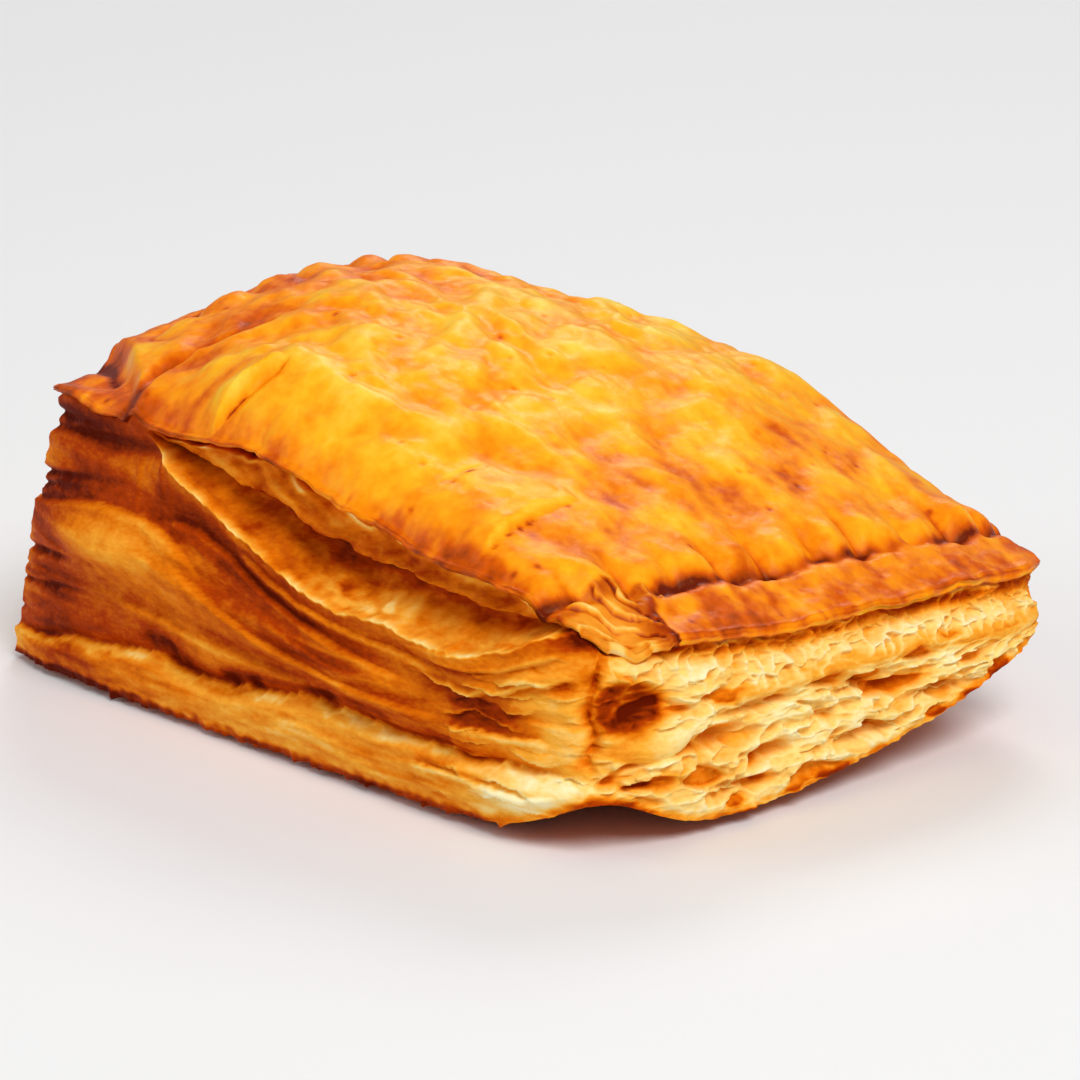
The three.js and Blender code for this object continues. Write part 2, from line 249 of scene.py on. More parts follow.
# Sheets that end on a line: they lie on its right as it is drawn, rise there and sink away over fade
# shadow is painted shade laid beyond each sheet's edge
FRONT_EDGES = table(
    "rise fade pale shadow rag line",
    (1, 7, 0.1, 0.2, 0.1, [
        (-62, 22.3), (-52, 22.8), (-44, 24.7), (-36, 25.9), (-29.5, 25.7), (-24.5, 25.2), (-20, 23.6),
        (-17, 21.6), (-15, 19),
    ]),
    (0.9, 3.5, 0.12, 0.16, 0.25, [
        (-25, 25.8), (-19, 26.5), (-14.5, 25.2), (-9.5, 23.6), (-5, 21.4), (0, 19.8), (8, 17.6), (16, 16.3),
        (24, 15.6),
    ]),
    (0.7, 2.5, 0.16, 0.12, 0.4, [(-10, 25.8), (-4, 23.2), (2, 21.2), (10, 19.6), (20, 18.9), (30, 18.6)]),
    (0.9, 3, 0.1, 0.14, 0.25, [
        (-21, 21.5), (-16, 19.3), (-11.5, 17.5), (-6.5, 15.8), (-1.5, 14.7), (8, 13.4), (18, 12.7),
        (30, 12.8),
    ]),
    (0.6, 2.5, 0.1, 0.1, 0.4, [(-34, 14), (-26, 13.4), (-18, 12.2), (-8, 11.4), (4, 11.6)]),
    (0.9, 2, 0.1, 0.16, 0.2, [
        (48, 24.6), (45, 22.9), (40.5, 21.1), (35.5, 19.7), (30.5, 19.3), (26, 19.8),
    ]),
    (1.1, 2.2, 0.35, 0.25, 0.8, [
        (49, 21), (45.5, 20.3), (41.5, 18.8), (37, 17.3), (33, 16.5), (29, 16.8), (24, 17.4),
    ]),
    (0.8, 2, 0.3, 0.2, 0.7, [(30, 12), (35, 12.6), (40, 12.4), (46, 13.2)]),
    (0.6, 2, 0.3, 0.2, 0.6, [(24, 6.2), (32, 6.8), (40, 6.2), (48, 7)]),
    (0.6, 8, 0.24, 0.14, 1.2, CRACK_LINE),
)
EDGE = Sizes(
    soft=0.2, start=(0, 0.1), end=(0.85, 1), wander=(0.6, 0.4), full=0.75, uneven=0.6, shadow=(0, 0.4),
    shadow_fade=1.4, pale_at=-0.25, pale_wide=0.4,
)
# Grooves, by how deep and wide they are and how much darker they are made
FRONT_GROOVES = table(
    "deep wide brown line",
    (0.9, 0.5, 0.3, [(-62, 32.6), (-52, 33), (-42, 33.6), (-33, 34.6), (-26, 35.4)]),
    (0.9, 0.5, 0.3, [(-62, 34.6), (-50, 35), (-40, 35.3), (-30, 35.6)]),
    (1.2, 0.55, 0.3, [(-62, 26), (-53, 26.8), (-47, 27.3), (-38, 28.6), (-30, 29.4)]),
    (0.7, 0.45, 0.25, [(-62, 24.4), (-53, 25), (-44, 26.6), (-36, 27.4)]),
    (1.1, 0.55, 0.3, [(-62, 15.6), (-53, 16.3), (-47, 17), (-40, 18), (-33, 18)]),
    (0.5, 0.3, 0.16, [(-62, 13.2), (-53, 13.9), (-46, 14.8)]),
    (0.8, 0.4, 0.24, [(-63, 11), (-54, 11.7), (-48, 12.6), (-39, 13.4), (-30, 13.8)]),
    (0.7, 0.4, 0.2, [(-63, 7), (-55, 7.7), (-51, 8.2)]),
    (0.7, 1.2, 0.34, [
        (-12, 8.4), (-2.5, 9.4), (4, 10.3), (10.5, 10.6), (16.5, 10.5), (22.5, 10.4), (29, 10.4), (34, 9.8),
        (40, 9.8),
    ]),
    (0.5, 1.6, 0.26, [(-26, 10.2), (-20, 9.2), (-15, 7.8)]),
    (1, 1.1, 0.5, [(53, 20.6), (50, 20.4), (47.5, 20.2), (42, 19.6)]),
)
GROOVE = Sizes(
    wander=0.4, uneven=0.6, full=0.8, fade=(0.3, 1), shown=(-0.35, 0.25), least=(0.3, 0.9),
    whole=(-28, -44),
)

# Gaps between the leaves of the crimped end, by y, z and half their length and height
END_GAPS = table(
    "y z long tall deep",
    (-13.5, 14.4, 3.6, 0.8, 2),
    (-19, 11.2, 4.6, 1.2, 2.6),
    (-11, 7.9, 4.2, 1.1, 3),
    (-2, 10.6, 3.6, 0.8, 2),
    (3.5, 13, 2.6, 0.8, 2),
    (9, 11.8, 3.2, 1, 2.2),
    (4.5, 6.8, 5, 0.8, 3),
    (18.6, 9.4, 6, 0.8, 2.6),
    (-16.5, 4.6, 4.5, 1.1, 2.2),
)
# painted shade inside the gaps between the leaves
GAP_SHADE = 0.22

# Texture and browning of the walls, with painted shade and highlight on gaps, lips and flakes
CRUMB = Sizes(
    wave=(1.6, 0.6), slip=1.2, shift=0.7, large=(5.2, 1.6), large_wall=0.16, small=(2.6, 2.1),
    small_wall=0.22, walls_from=(-0.5, 0.1), shallow=(0.08, 0.3), deep_from=(0.3, 0.45), cell=0.8,
    cell_from=(0.35, 0.85), parts=(0.55, 0.45), short=(0.12, 0.4), short_share=(0.3, 0.2), floor=0.2,
    small_share=0.6, lips_to=(0.3, 0.1), upper=(8, 6), upper_rag=1.5, stand=0.5,
    relief=(-1.6, 0.22, 0.14, 0.1), tone=0.16, brown=(0.26, 0.16, -0.08, -0.06, -0.05, 0.14), dark=(0.6, 1),
    leaf=(0.3, 0.55), hollow=(0.2, 0.6), calm=0.95, hollow_calm=0.8,
)
SHEET = Sizes(
    span=18, least=4, tall=3.4, wave=0.9, relief=(0.5, 0.3, 0.12, 0.06), tone=0.72,
    brown=(0.1, -0.07, 0.05, 0.05, -0.06), lap=(1.2, 0.45), lap_pale=(0.18, 0.12), lap_power=1.5,
    lap_end=(0.84, 1), shown=(-0.3, 0.4),
)
FLAKES = Sizes(
    tall=1.8, wave=(1.1, 0.3), shown=(-0.2, 0.3), proud=0.6, brown=0.14, brown_from=(0.6, 1), pale=0.2,
    pale_to=(0.05, 0.3), front=(20, 36), below_lip=(-3.5, -1.5), back=(-0.1, 0.35),
)
STREAKS = Sizes(x=-27, z=31, long=5, tall=3.5, proud=0.4, brown=0.12)  # upright wrinkles left of the pocket
BAKED = Sizes(patches=(0.35, -0.35), is_open=(0.85, 0.25))
ROUND_CORNER = Sizes(x=(-40, -48), y=(-20, -36), calm=0.7)  # front lines that run on round the tall corner
TUCK = Sizes(start=(1.5, 2.4), full=(0.7, 1.4), high=(0.1, 0.3), deep=0.8)  # wall tops below the crust
FOOT = Sizes(shown=(0.02, 0.1), top=0.05, teeth=0.4, drip=0.8, drops=(1.6, 0.8), fewer=0.1)
STACK = Sizes(end=(-46, -34), brown=0.14)
# Browning of places on the walls, with painted shade and painted highlight in some rows
WALL_FOOT = Sizes(brown=(0.4, 0.32), low=0.2, top=(1.6, 1.2), rag=0.7)
WALL_BROWN_AND_SHADE = [
    # painted shadow line under the crust's rim
    brown(0.2, below_edge=peak(CREASE.below, 1.2), closed=as_is),
    brown(0.35, below_edge=peak(2.4, 0.8), crimped=as_is),
    brown(0.16, layered=as_is, above_crack=easing(0.2, -0.6), sides=as_is),
    brown(0.15, x=easing(-18, -40), round_front=as_is),
    brown(0.16, x=both(easing(-18, -40), easing(-36, -50)), round_front=as_is),
    # painted shade in the torn recess at the top of the front corner
    brown(0.2, away=peak(0, 6), t=easing(0.6, 0.8)),
    brown(0.17, away=peak(0, 7)),
    brown(0.3, away=peak(0, 10), above_base=easing(1.8, 0.2)),
    brown(0.26, cleft=as_is),
]
FRONT_BROWN_AND_HIGHLIGHT = [
    # paler bulge: painted highlight
    brown(-0.28, x=peak(BULGE.x + 1, BULGE.long), z=peak(BULGE.z + 1, BULGE.tall)),
    brown(-0.36, x=easing(28, 50), z=easing(1, 4), above_lip=easing(-1, -4)),
    brown(-0.2, x=easing(28, 44), z=easing(11, 6)),
    brown(-0.1, x=easing(42, 47), z=peak(14.5, 5)),
    brown(0.26, x=peak(38, 6), z=peak(14.4, 1.5)),
]
POCKET_BROWN_AND_SHADE = [
    brown(-0.2, x=easing(6, 24), level=peak(0.14, 0.14)),
    brown(0.24, x=easing(-24, -6), level=peak(0.48, 0.14)),
    brown(-0.12, x=easing(6, 24), level=peak(0.48, 0.14)),
    brown(-0.03, level=both(easing(0.62, 0.8), easing(1.03, 0.97))),
    # darker in the gap under the crust: painted shade
    brown(0.3, level=easing(0.98, 1.05)),
    brown(-0.42, level=peak(0.97, 0.035), ragged=easing(-0.2, 0.35)),
    brown(0.14, cloud=as_is),
    brown(0.08, fine_cloud=as_is),
    brown(-0.3, x=both(easing(1, 7), easing(24, 18)), level=peak(0.08, 0.12), flaky=easing(-0.25, 0.25)),
]
LIP_BROWN_AND_SHADE = [
    brown(-0.55, above_lip=peak(-0.12, 0.22), pale=as_is),
    # dark band below the overhanging lip: painted shadow
    brown(0.2, above_lip=peak(-4, 3.5), x=easing(22, -8)),
]

# Walls, by where they start and end round the puff: they meet beside its corners
WALLS = table(
    "name start end columns",
    ("front_side", -0.06, 1.07, 470),
    ("crimped_end", 1.07, 1.97, 370),
    ("back_side", 1.97, 3.04, 300),
    ("tall_end", 3.04, 3.94, 260),
)
WALL_TOP = 0.975
# Rows of the walls. On the front they lie below, between and above its base crack, lip and ledge
ROWS = Sizes(
    counts=(30, 92, 12, 36, 10, 6), beside_lip=(-0.5, 0.4), beside_ledge=(-0.4, 0.4), least=0.0008, sink=10,
    sunk=(-28, -58), tries=5,
)
FRONT_EASE = 0.04
UNDER_RINGS = (1, 0.975, 0.95, 0.92, 0.88, 0.8, 0.65, 0.4, 0)
TOP_RINGS = (0, 0.4, 0.8, 0.95, 1)
UNDER_TONE = 0.72

SEED = 7
random = np.random.default_rng(SEED)
TABLE = 256
ORDER = random.permutation(TABLE)
SLOPES = random.normal(size=(TABLE, 3))
SLOPES /= np.linalg.norm(SLOPES, axis=1, keepdims=True)
SPOTS = random.uniform(size=(TABLE, 3))
PICKS = random.uniform(size=TABLE)
LAYER_JUMP = 3.7  # takes the noise of one layer away from that of the next


def smooth(low, high, value):
    share = np.clip((value - low) / (high - low), 0, 1)
    return share * share * (3 - 2 * share)


def span(start, end, value):
    """1 between a start and an end, each of them a range."""
    return smooth(*start, value) * (1 - smooth(*end, value))


def bell(value, centre, width):
    return np.exp(-(((value - centre) / width) ** 2))


def stripe(value, amount, middle, width):
    return amount * bell(value, middle, width)


def lerp(first, last, share):
    return first + (last - first) * share


def weighted(weights, *patterns):
    """Sum of patterns, each times its weight."""
    return sum(weight * pattern for weight, pattern in zip(weights, patterns))


def browning(rows, **places):
    """Sum of rows of browning at these places."""
    total = 0
    for amount, fades in rows:
        for name, fade in fades.items():
            amount = amount * fade(places[name])
        total = total + amount
    return total


def oval(along, z, shape):
    return bell(along, 0, shape.long) * bell(z, shape.z, shape.tall)


def coded(i, j, k):
    return ORDER[(ORDER[(ORDER[i % TABLE] + j) % TABLE] + k) % TABLE]


def noise(x, y, z, seed):
    """Smooth noise, about -1 to 1, with about one bump to each unit of distance."""
    place = np.broadcast_arrays(x + 17.3 * seed, y + 5.9 * seed, z + 11.1 * seed)
    cell = [np.floor(p).astype(int) for p in place]
    part = [p - c for p, c in zip(place, cell)]
    ease = [p**3 * (p * (p * 6 - 15) + 10) for p in part]
    total = 0
    for corner in np.ndindex(2, 2, 2):
        slope = SLOPES[coded(*(c + k for c, k in zip(cell, corner)))]
        rise = sum(slope[..., i] * (part[i] - corner[i]) for i in range(3))
        weight = 1
        for i in range(3):
            weight = weight * (ease[i] if corner[i] else 1 - ease[i])
        total = total + weight * rise
    return 1.5 * total


def patches(x, y, size, seed):
    """Smooth noise over the plan, with bumps of about this size."""
    return noise(x / size, y / size, 0, seed)


def layers(x, y, z, long, tall, seed):
    """Smooth noise over the walls, with bumps of about this length and height."""
    return noise(x / long, y / long, z / tall, seed)


def cells(x, y, z, seed):
    """Distances to the nearest and second nearest of scattered spots, and a random number for the nearest."""
    place = np.broadcast_arrays(x + 9.7 * seed, y + 23.1 * seed, z + 3.3 * seed)
    home = [np.floor(p).astype(int) for p in place]
    near = np.full(place[0].shape, 9.0)
    far = near.copy()
    pick = np.zeros_like(near)
    for step in np.ndindex(3, 3, 3):
        cell = [h + s - 1 for h, s in zip(home, step)]
        code = coded(*cell)
        apart = np.sqrt(sum((cell[i] + SPOTS[code, i] - place[i]) ** 2 for i in range(3)))
        closer = apart < near
        far = np.where(closer, near, np.minimum(far, apart))
        pick = np.where(closer, PICKS[code], pick)
        near = np.minimum(near, apart)
    return near, far, pick


# The solid's form, where a and b run from -1 to 1 over the plan and t from 0 to 1 up a wall


def corner_shares(a, b):
    return [(1 + corner.sx * a) / 2 * (1 + corner.sy * b) / 2 for corner in CORNERS]


def rounded_shares(a, b):
    """Shares of the four corners at a place, drawn in where the plan's corners are rounded."""
    plan_a = a * (1 - ROUNDING.share * np.abs(b) ** ROUNDING.power)
    plan_b = b * (1 - ROUNDING.share * np.abs(a) ** ROUNDING.power)
    return corner_shares(plan_a, plan_b)


def plan_point(a, b, t):
    x = 0
    y = 0
    for corner, share in zip(CORNERS, rounded_shares(a, b)):
        x = x + share * corner.sx * (LENGTH / 2 + lerp(corner.base_out[0], corner.edge_out[0], t))
        y = y + share * corner.sy * (WIDTH / 2 + lerp(corner.base_out[1], corner.edge_out[1], t))
    return x, y


def edge_height(a, b):
    z = sum(share * corner.edge_z for corner, share in zip(CORNERS, corner_shares(a, b)))
    for hump in FRONT_HUMPS:
        z = z + hump.rise * bell(a, hump.at, hump.wide) * ((1 - b) / 2) ** 2
    z = z + BACK_HUMP.rise * bell(a, BACK_HUMP.at, BACK_HUMP.wide) * ((1 + b) / 2) ** 2
    bow = (1 - b * b) ** TALL_END_BOW.power * (1 + TALL_END_BOW.lean * b)
    z = z + TALL_END_BOW.rise * bow * ((1 - a) / 2) ** 2
    sag = bell(b, CRIMPED_END_SAG.at, CRIMPED_END_SAG.wide) * ((1 + a) / 2) ** CRIMPED_END_SAG.power
    return z - CRIMPED_END_SAG.drop * sag


def dome_height(a, b):
    along = a + DOME.lean * (1 - a * a)
    return DOME_RISE * (1 - np.abs(along) ** DOME.full_long) * (1 - np.abs(b) ** DOME.full_across)


def crimp_valley(b):
    uneven = b + CRIMP_VALLEY.stray * noise(b * 7, 0, 0, 38)
    depth = np.clip(CRIMP_VALLEY.full + CRIMP_VALLEY.uneven * noise(b * 9, 0, 0, 39), CRIMP_VALLEY.least, 1)
    return depth * (1 - np.abs(np.cos(np.pi * CRIMPS_PER_END * uneven / 2)))


def crimp_reach(inward):
    return span(CRIMP_RIDGE.start, CRIMP_RIDGE.end, inward)


def groove_place(a, b):
    """Distance from an end's edge, with the wander of the groove that is pressed along it."""
    return (1 - np.abs(a)) * LENGTH / 2 + CRIMP_GROOVE.wander * noise(b * 9, np.sign(a), 0, 43)


def crimp_relief(a, b):
    inward = groove_place(a, b)
    uneven = CRIMP_GROOVE.full + CRIMP_GROOVE.uneven * noise(b * 13, 0, 0, 44)
    groove = CRIMP_GROOVE.deep * bell(inward, CRIMP_GROOVE.at, CRIMP_GROOVE.wide) * uneven
    puff = CRIMP_PUFF.rise * (1 - crimp_valley(b)) * bell(inward, CRIMP_PUFF.at, CRIMP_PUFF.wide)
    return puff - CRIMP_RIDGE.deep * crimp_valley(b) * crimp_reach(inward) - groove


def rounded(line):
    """A line of straight runs with its corners cut twice."""
    points = np.array(line, float)
    for _ in range(2):
        near = lerp(points[:-1], points[1:], 0.25)
        far = lerp(points[:-1], points[1:], 0.75)
        between = np.stack([near, far], 1).reshape(-1, points.shape[1])
        points = np.concatenate([points[:1], between, points[-1:]])
    return points


def line_place(x, y, line):
    """Distance from a rounded line, above 0 on its left as it is drawn, and the share of its length there."""
    points = rounded(line)
    lengths = np.hypot(*np.diff(points, axis=0).T)
    starts = np.concatenate([[0], np.cumsum(lengths)])
    nearest = np.full(np.broadcast(x, y).shape, np.inf)
    signed = nearest.copy()
    share = np.zeros_like(nearest)
    for (x0, y0), (x1, y1), length, start in zip(points, points[1:], lengths, starts):
        run_x = (x1 - x0) / length
        run_y = (y1 - y0) / length
        along = np.clip((x - x0) * run_x + (y - y0) * run_y, 0, length)
        off_x = x - x0 - along * run_x
        off_y = y - y0 - along * run_y
        apart = np.hypot(off_x, off_y)
        closer = apart < nearest
        signed = np.where(closer, np.where(run_x * off_y < run_y * off_x, -apart, apart), signed)
        share = np.where(closer, (start + along) / starts[-1], share)
        nearest = np.minimum(nearest, apart)
    return signed, share


def strap_share(x, y):
    """How much of the ear's folded strap there is: it ends sharply on its line and slopes away behind it."""
    apart, share = line_place(x, y, EAR_STRAP.line)
    slope = smooth(EAR_STRAP.sharp, -EAR_STRAP.sharp, apart) * np.exp(np.minimum(apart, 0) / EAR_STRAP.fade)
    return slope * (1 - smooth(*EAR_STRAP.end, share))


def oval_plan(x, y, shape):
    return bell(np.hypot((x - shape.x) / shape.long, (y - shape.y) / shape.wide), 0, 1)


def ear_relief(x, y):
    lobe = EAR.rise * oval_plan(x, y, EAR) + EAR_FOOT.rise * oval_plan(x, y, EAR_FOOT)
    relief = lobe - EAR_DISH.deep * oval_plan(x, y, EAR_DISH) + EAR_STRAP.rise * strap_share(x, y)
    for fold in (EAR_PIT, EAR_CREASE):
        relief = relief - fold.deep * bell(line_place(x, y, fold.line)[0], 0, fold.wide)
    return relief


def ear_zone(x, y):
    return smooth(*EAR_ZONE.x, x) * smooth(*EAR_ZONE.y, y)


def slit_place(slit, x, y):
    """Distance across a slit, and how much of the slit there is at this place."""
    across = x - slit.x - slit.lean * (y - slit.start) + SLIT.wander * noise(x / 9, y / 2.2, 0, 14)
    along = np.clip((y - slit.start) / (slit.end - slit.start), 0, 1)
    return across, np.sqrt(np.sin(np.pi * along))


def slit_relief(x, y):
    relief = 0
    for slit in SLITS:
        across, present = slit_place(slit, x, y)
        flap = slit.lift * bell(np.minimum(across, 0), 0, slit.flap)
        sunk = -slit.sink * bell(np.maximum(across, 0), 0, SLIT.sunk)
        relief = relief + present * lerp(flap, sunk, smooth(-SLIT.soft, SLIT.soft, across))
    return relief


def blister_relief(x, y):
    first = np.sin(x / BLISTER.along + BLISTER.bend * np.sin(y / BLISTER.across / 2))
    second = np.sin(y / BLISTER.across + BLISTER.bend * np.sin(x / BLISTER.along / 2))
    return BLISTER.rise * first * second


def tear_place(x, y):
    """Distance from the crust's torn edge, above 0 on the crust, and how much of the crust is missing."""
    apart = line_place(x, y, TEAR.line)[0] + TEAR.rag * patches(x, y, 1.6, 52)
    return apart, smooth(TEAR.soft, -TEAR.soft, apart)


def torn_leaves(x, y):
    """Leaves that fan out where the crust is missing: place on one, 0 at its foot, and how much there is."""
    across = x - LEAVES.fan[0]
    along = y - LEAVES.fan[1]
    count = np.arctan2(-along, -across) / LEAVES.turn
    count = count + LEAVES.bend * patches(x, y, 4, 62) + LEAVES.rag * patches(x, y, 1.5, 63)
    torn = noise(np.hypot(across, along) / LEAVES.long, np.floor(count) * LAYER_JUMP, 0, 77)
    return count - np.floor(count), smooth(*LEAVES.shown, torn)


def top_height(a, b, x, y):
    torn = bell(x, TORN_CORNER.x, TORN_CORNER.wide) * bell(y, TORN_CORNER.y, TORN_CORNER.wide)
    crimps = crimp_relief(a, b) * (1 - ear_zone(x, y))
    relief = crimps - TORN_CORNER.drop * torn + ear_relief(x, y) + slit_relief(x, y)
    return edge_height(a, b) + dome_height(a, b) + relief + blister_relief(x, y)


def base_height(a, b):
    curl = sum(corner.curl * share**corner.curl_power for corner, share in zip(CORNERS, rounded_shares(a, b)))
    sag = BASE.sag * (1 - a**BASE.power) * (1 - b**BASE.power)
    x, y = plan_point(a, b, 0)
    along = (x - HEEL.x + y - HEEL.y) / np.sqrt(2)
    inward = (HEEL.x - x + y - HEEL.y) / np.sqrt(2)
    heel = HEEL.rise * bell(along, 0, HEEL.wide) * bell(inward, 0, HEEL.inward)
    return np.maximum(BASE.edge + curl + heel - sag, 0)


def outward(a, b):
    out_a = np.sign(a) * np.abs(a) ** WALL_POWER
    out_b = np.sign(b) * np.abs(b) ** WALL_POWER
    reach = np.maximum(np.hypot(out_a, out_b), 1e-9)
    return out_a / reach, out_b / reach


def lip_height(x):
    return np.interp(x, *rounded(LIP_LINE).T)


def lip_edge(x):
    """The torn upper edge of the pocket's lip."""
    return lip_height(x) + weighted(LIP.rag, patches(x, 0, 4, 67), patches(x, 0, 1.3, 68))


def ledge_edge(x):
    """The torn upper edge of the sheet inside the pocket, just below the crust."""
    line = np.interp(x, *rounded(LEDGE_LINE).T) - LEDGE.low
    return line + weighted(LEDGE.rag, patches(x, 0, 5, 65), patches(x, 0, 1.4, 66))


def pocket_opening(x):
    return span(POCKET.start, POCKET.end, x)


def pocket_level(x, z):
    """Height inside the pocket: 0 at its lip, 1 at the upper edge of the sheet below the crust."""
    lip = lip_edge(x)
    return np.clip((z - lip) / np.maximum(ledge_edge(x) - lip, POCKET.least), 0, POCKET.highest)


def pocket_relief(x, z):
    level = pocket_level(x, z)
    bent = level + POCKET.bend * patches(x, 0, 7, 45)
    inner = lerp(POCKET.step, POCKET.deep, smooth(*POCKET.mouth, bent)) * smooth(*POCKET.lip, level)
    depth = lerp(inner, POCKET.ledge, smooth(*POCKET.roof, bent)) + POCKET.gap * smooth(*POCKET.above, level)
    wrinkle = weighted(POCKET.wrinkle, layers(x, 0, z, 7, 3.2, 58), layers(x, 0, z, 2.6, 1.5, 59))
    above_lip = z - lip_edge(x)
    lip = LIP.proud * smooth(LIP.sharp, -LIP.sharp, above_lip) * np.exp(np.minimum(above_lip, 0) / LIP.fade)
    return pocket_opening(x) * (lip - depth + smooth(*POCKET.wrinkled, level) * wrinkle)


def crack_height(x):
    return np.interp(x, *rounded(CRACK_LINE).T)


def base_crack(x, z):
    under = 1 - smooth(crack_height(x) - BASE_BAND.soft, crack_height(x), z)
    band = BASE_BAND.proud * under * smooth(0, BASE_BAND.foot, z)
    return band - BASE_CRACK.deep * bell(z, crack_height(x), BASE_CRACK.wide)


def front_relief(x, z):
    slide = x - FOLD.x
    fold = FOLD.proud * span(FOLD.start, FOLD.end, slide) * bell(z, FOLD.z + FOLD.slope * slide, FOLD.tall)
    bulge = BULGE.proud * oval(x - BULGE.x, z, BULGE)
    return pocket_relief(x, z) + bulge + fold + base_crack(x, z)


def back_relief(x, z):
    return BACK_FOLD.proud * oval(x - BACK_FOLD.x, z, BACK_FOLD) + base_crack(x, z)


def crimped_end_relief(y, z):
    hollow = END_HOLLOW.deep * oval(y - END_HOLLOW.y, z, END_HOLLOW)
    gaps = sum(gap.deep * oval(y - gap.y, z, gap) for gap in [END_LENS, *END_GAPS])
    return END_LEAF.proud * oval(y - END_LEAF.y, z, END_LEAF) - hollow - gaps


def from_corner(x, y):
    """Distance in plan from the low front corner."""
    return np.hypot(x - LENGTH / 2, y + WIDTH / 2)


def cleft(x, y, z):
    """How much of the upright cleft at the torn corner there is."""
    wander = CLEFT.wander * noise(0, 0, z / 4, 81) + CLEFT.rag * layers(x, y, z, 3, 1.6, 82)
    near = bell(np.hypot(x - CLEFT.x, y - CLEFT.y), 0, CLEFT.near)
    return near * bell(x - CLEFT.x + y - CLEFT.y + wander, 0, CLEFT.wide) * span(CLEFT.low, CLEFT.high, z)


def corner_crack(x, y, z, t):
    away = from_corner(x, y)
    foot = smooth(0, CORNER_CRACK.foot, t)
    crack = CORNER_CRACK.deep * bell(away, 0, CORNER_CRACK.wide) * foot * (1 - t**CORNER_CRACK.power)
    tear = CORNER_TEAR.deep * bell(away, 0, CORNER_TEAR.wide) * smooth(*CORNER_TEAR.high, t)
    return -crack - CLEFT.deep * cleft(x, y, z) - tear


def end_share(a, b, power=END_SHARP):
    """1 on the two ends and 0 on the long sides. A higher power makes the change at the corners quicker."""
    return np.abs(a) ** power / (np.abs(a) ** power + np.abs(b) ** power)


def wall_form(a, b, t):
    """Point of a wall before its relief, and how far the solid's main relief stands out there."""
    x, y = plan_point(a, b, t)
    z = lerp(base_height(a, b), top_height(a, b, x, y), t)
    relief = -CREASE.deep * bell(edge_height(a, b) - z, CREASE.below, CREASE.wide)
    side = np.where(b < 0, front_relief(x, z), back_relief(x, z))
    end = np.where(a > 0, crimped_end_relief(y, z), 0)
    own = lerp(side, end, end_share(a, b)) * (1 - (a * b) ** CORNER_FADE)
    return x, y, z, relief + own + corner_crack(x, y, z, t)


# Fine relief and browning of the walls, with painted shade and highlight on the relief


def crumb_gaps(x, y, z, below_edge):
    """Gaps between thin leaves low down and small cells near the top, and the raised lips round them."""
    level = z + weighted(CRUMB.wave, layers(x, y, z, 20, 11, 0), layers(x, y, z, 7, 4, 1))
    slip = CRUMB.slip * layers(x, y, z, 2.6, 2, 72)
    raised = level + CRUMB.shift * layers(x, y, z, 2.4, 1.6, 73)
    long, tall = CRUMB.large
    near, far, pick = cells((x + slip) / long, (y + slip) / long, raised / tall, 3)
    wall = bell(far - near, 0, CRUMB.large_wall)
    parting = layers(x, y, level, 5.5, 1.6, 2)
    shallow = CRUMB.cell * (1 - wall) * smooth(*CRUMB.cell_from, pick)
    shallow = np.maximum(smooth(*CRUMB.shallow, parting), shallow)
    long_gap = weighted(CRUMB.parts, shallow, smooth(*CRUMB.deep_from, parting))
    long, tall = CRUMB.small
    near, far, pick = cells((x + slip) / long, (y + slip) / long, raised / tall, 1)
    small_wall = bell(far - near, 0, CRUMB.small_wall) * smooth(*CRUMB.walls_from, layers(x, y, z, 3, 3, 74))
    cell = (1 - small_wall) * lerp(CRUMB.floor, 1, pick)
    short_gap = smooth(*CRUMB.short, layers(x, y, level, 2.2, 1.0, 3))
    upper = smooth(*CRUMB.upper, below_edge + CRUMB.upper_rag * patches(x, y, 9, 16))
    low_gap = long_gap + CRUMB.short_share[0] * short_gap * (1 - long_gap)
    gap = lerp(low_gap, CRUMB.small_share * cell + CRUMB.short_share[1] * short_gap, upper)
    return level, gap, lerp(wall * smooth(*CRUMB.lips_to, parting), small_wall, upper)


def end_crumb(x, y, z, below_edge, crimped):
    """Relief and browning of the ends' open crumb, with the smooth leaves of the crimped end and painted
    light.
    """
    level, gap, lips = crumb_gaps(x, y, z, below_edge)
    lines = layers(x, y, level, 10, 0.45, 4)
    torn = layers(x, y, z, 1.2, 0.8, 46)
    seam_z = MID_SEAM.z - MID_SEAM.drop * smooth(*MID_SEAM.sink, y) + MID_SEAM.rag * patches(x, y, 4, 47)
    seam = crimped * bell(z, seam_z, MID_SEAM.wide) * smooth(*MID_SEAM.start, y)
    lens = oval(y - END_LENS.y, z, END_LENS)
    leaf = crimped * smooth(*CRUMB.leaf, np.maximum(oval(y - END_LEAF.y, z, END_LEAF), lens))
    hollow = crimped * smooth(*CRUMB.hollow, oval(y - END_HOLLOW.y, z, END_HOLLOW))
    rough = (1 - CRUMB.calm * seam) * (1 - CRUMB.calm * leaf) * (1 - CRUMB.hollow_calm * hollow)
    relief = CRUMB.stand + weighted(CRUMB.relief, gap, lips, lines, torn)
    cloud = layers(x, y, level, 10, 3, 5)
    # darker gaps are partly painted shade and paler lips partly painted highlight, over the crumb's own tones
    tone = CRUMB.tone + weighted(CRUMB.brown, gap, smooth(*CRUMB.dark, gap), lips, lines, torn, cloud)
    petal = lerp(*END_LEAF.tone, smooth(*END_LEAF.turn, y)) + END_LENS.brown * lens
    return rough * relief + MID_SEAM.proud * seam, lerp(tone, petal, leaf) + MID_SEAM.brown * seam


def side_level(x, z, front):
    """Height on a long side as its sheets lie: on the front, pressed between the base crack and the lip."""
    crack = crack_height(x)
    pressed = (z - crack) / np.maximum(lip_height(x) - crack, SHEET.least) * SHEET.span
    return lerp(z - crack, pressed, front)


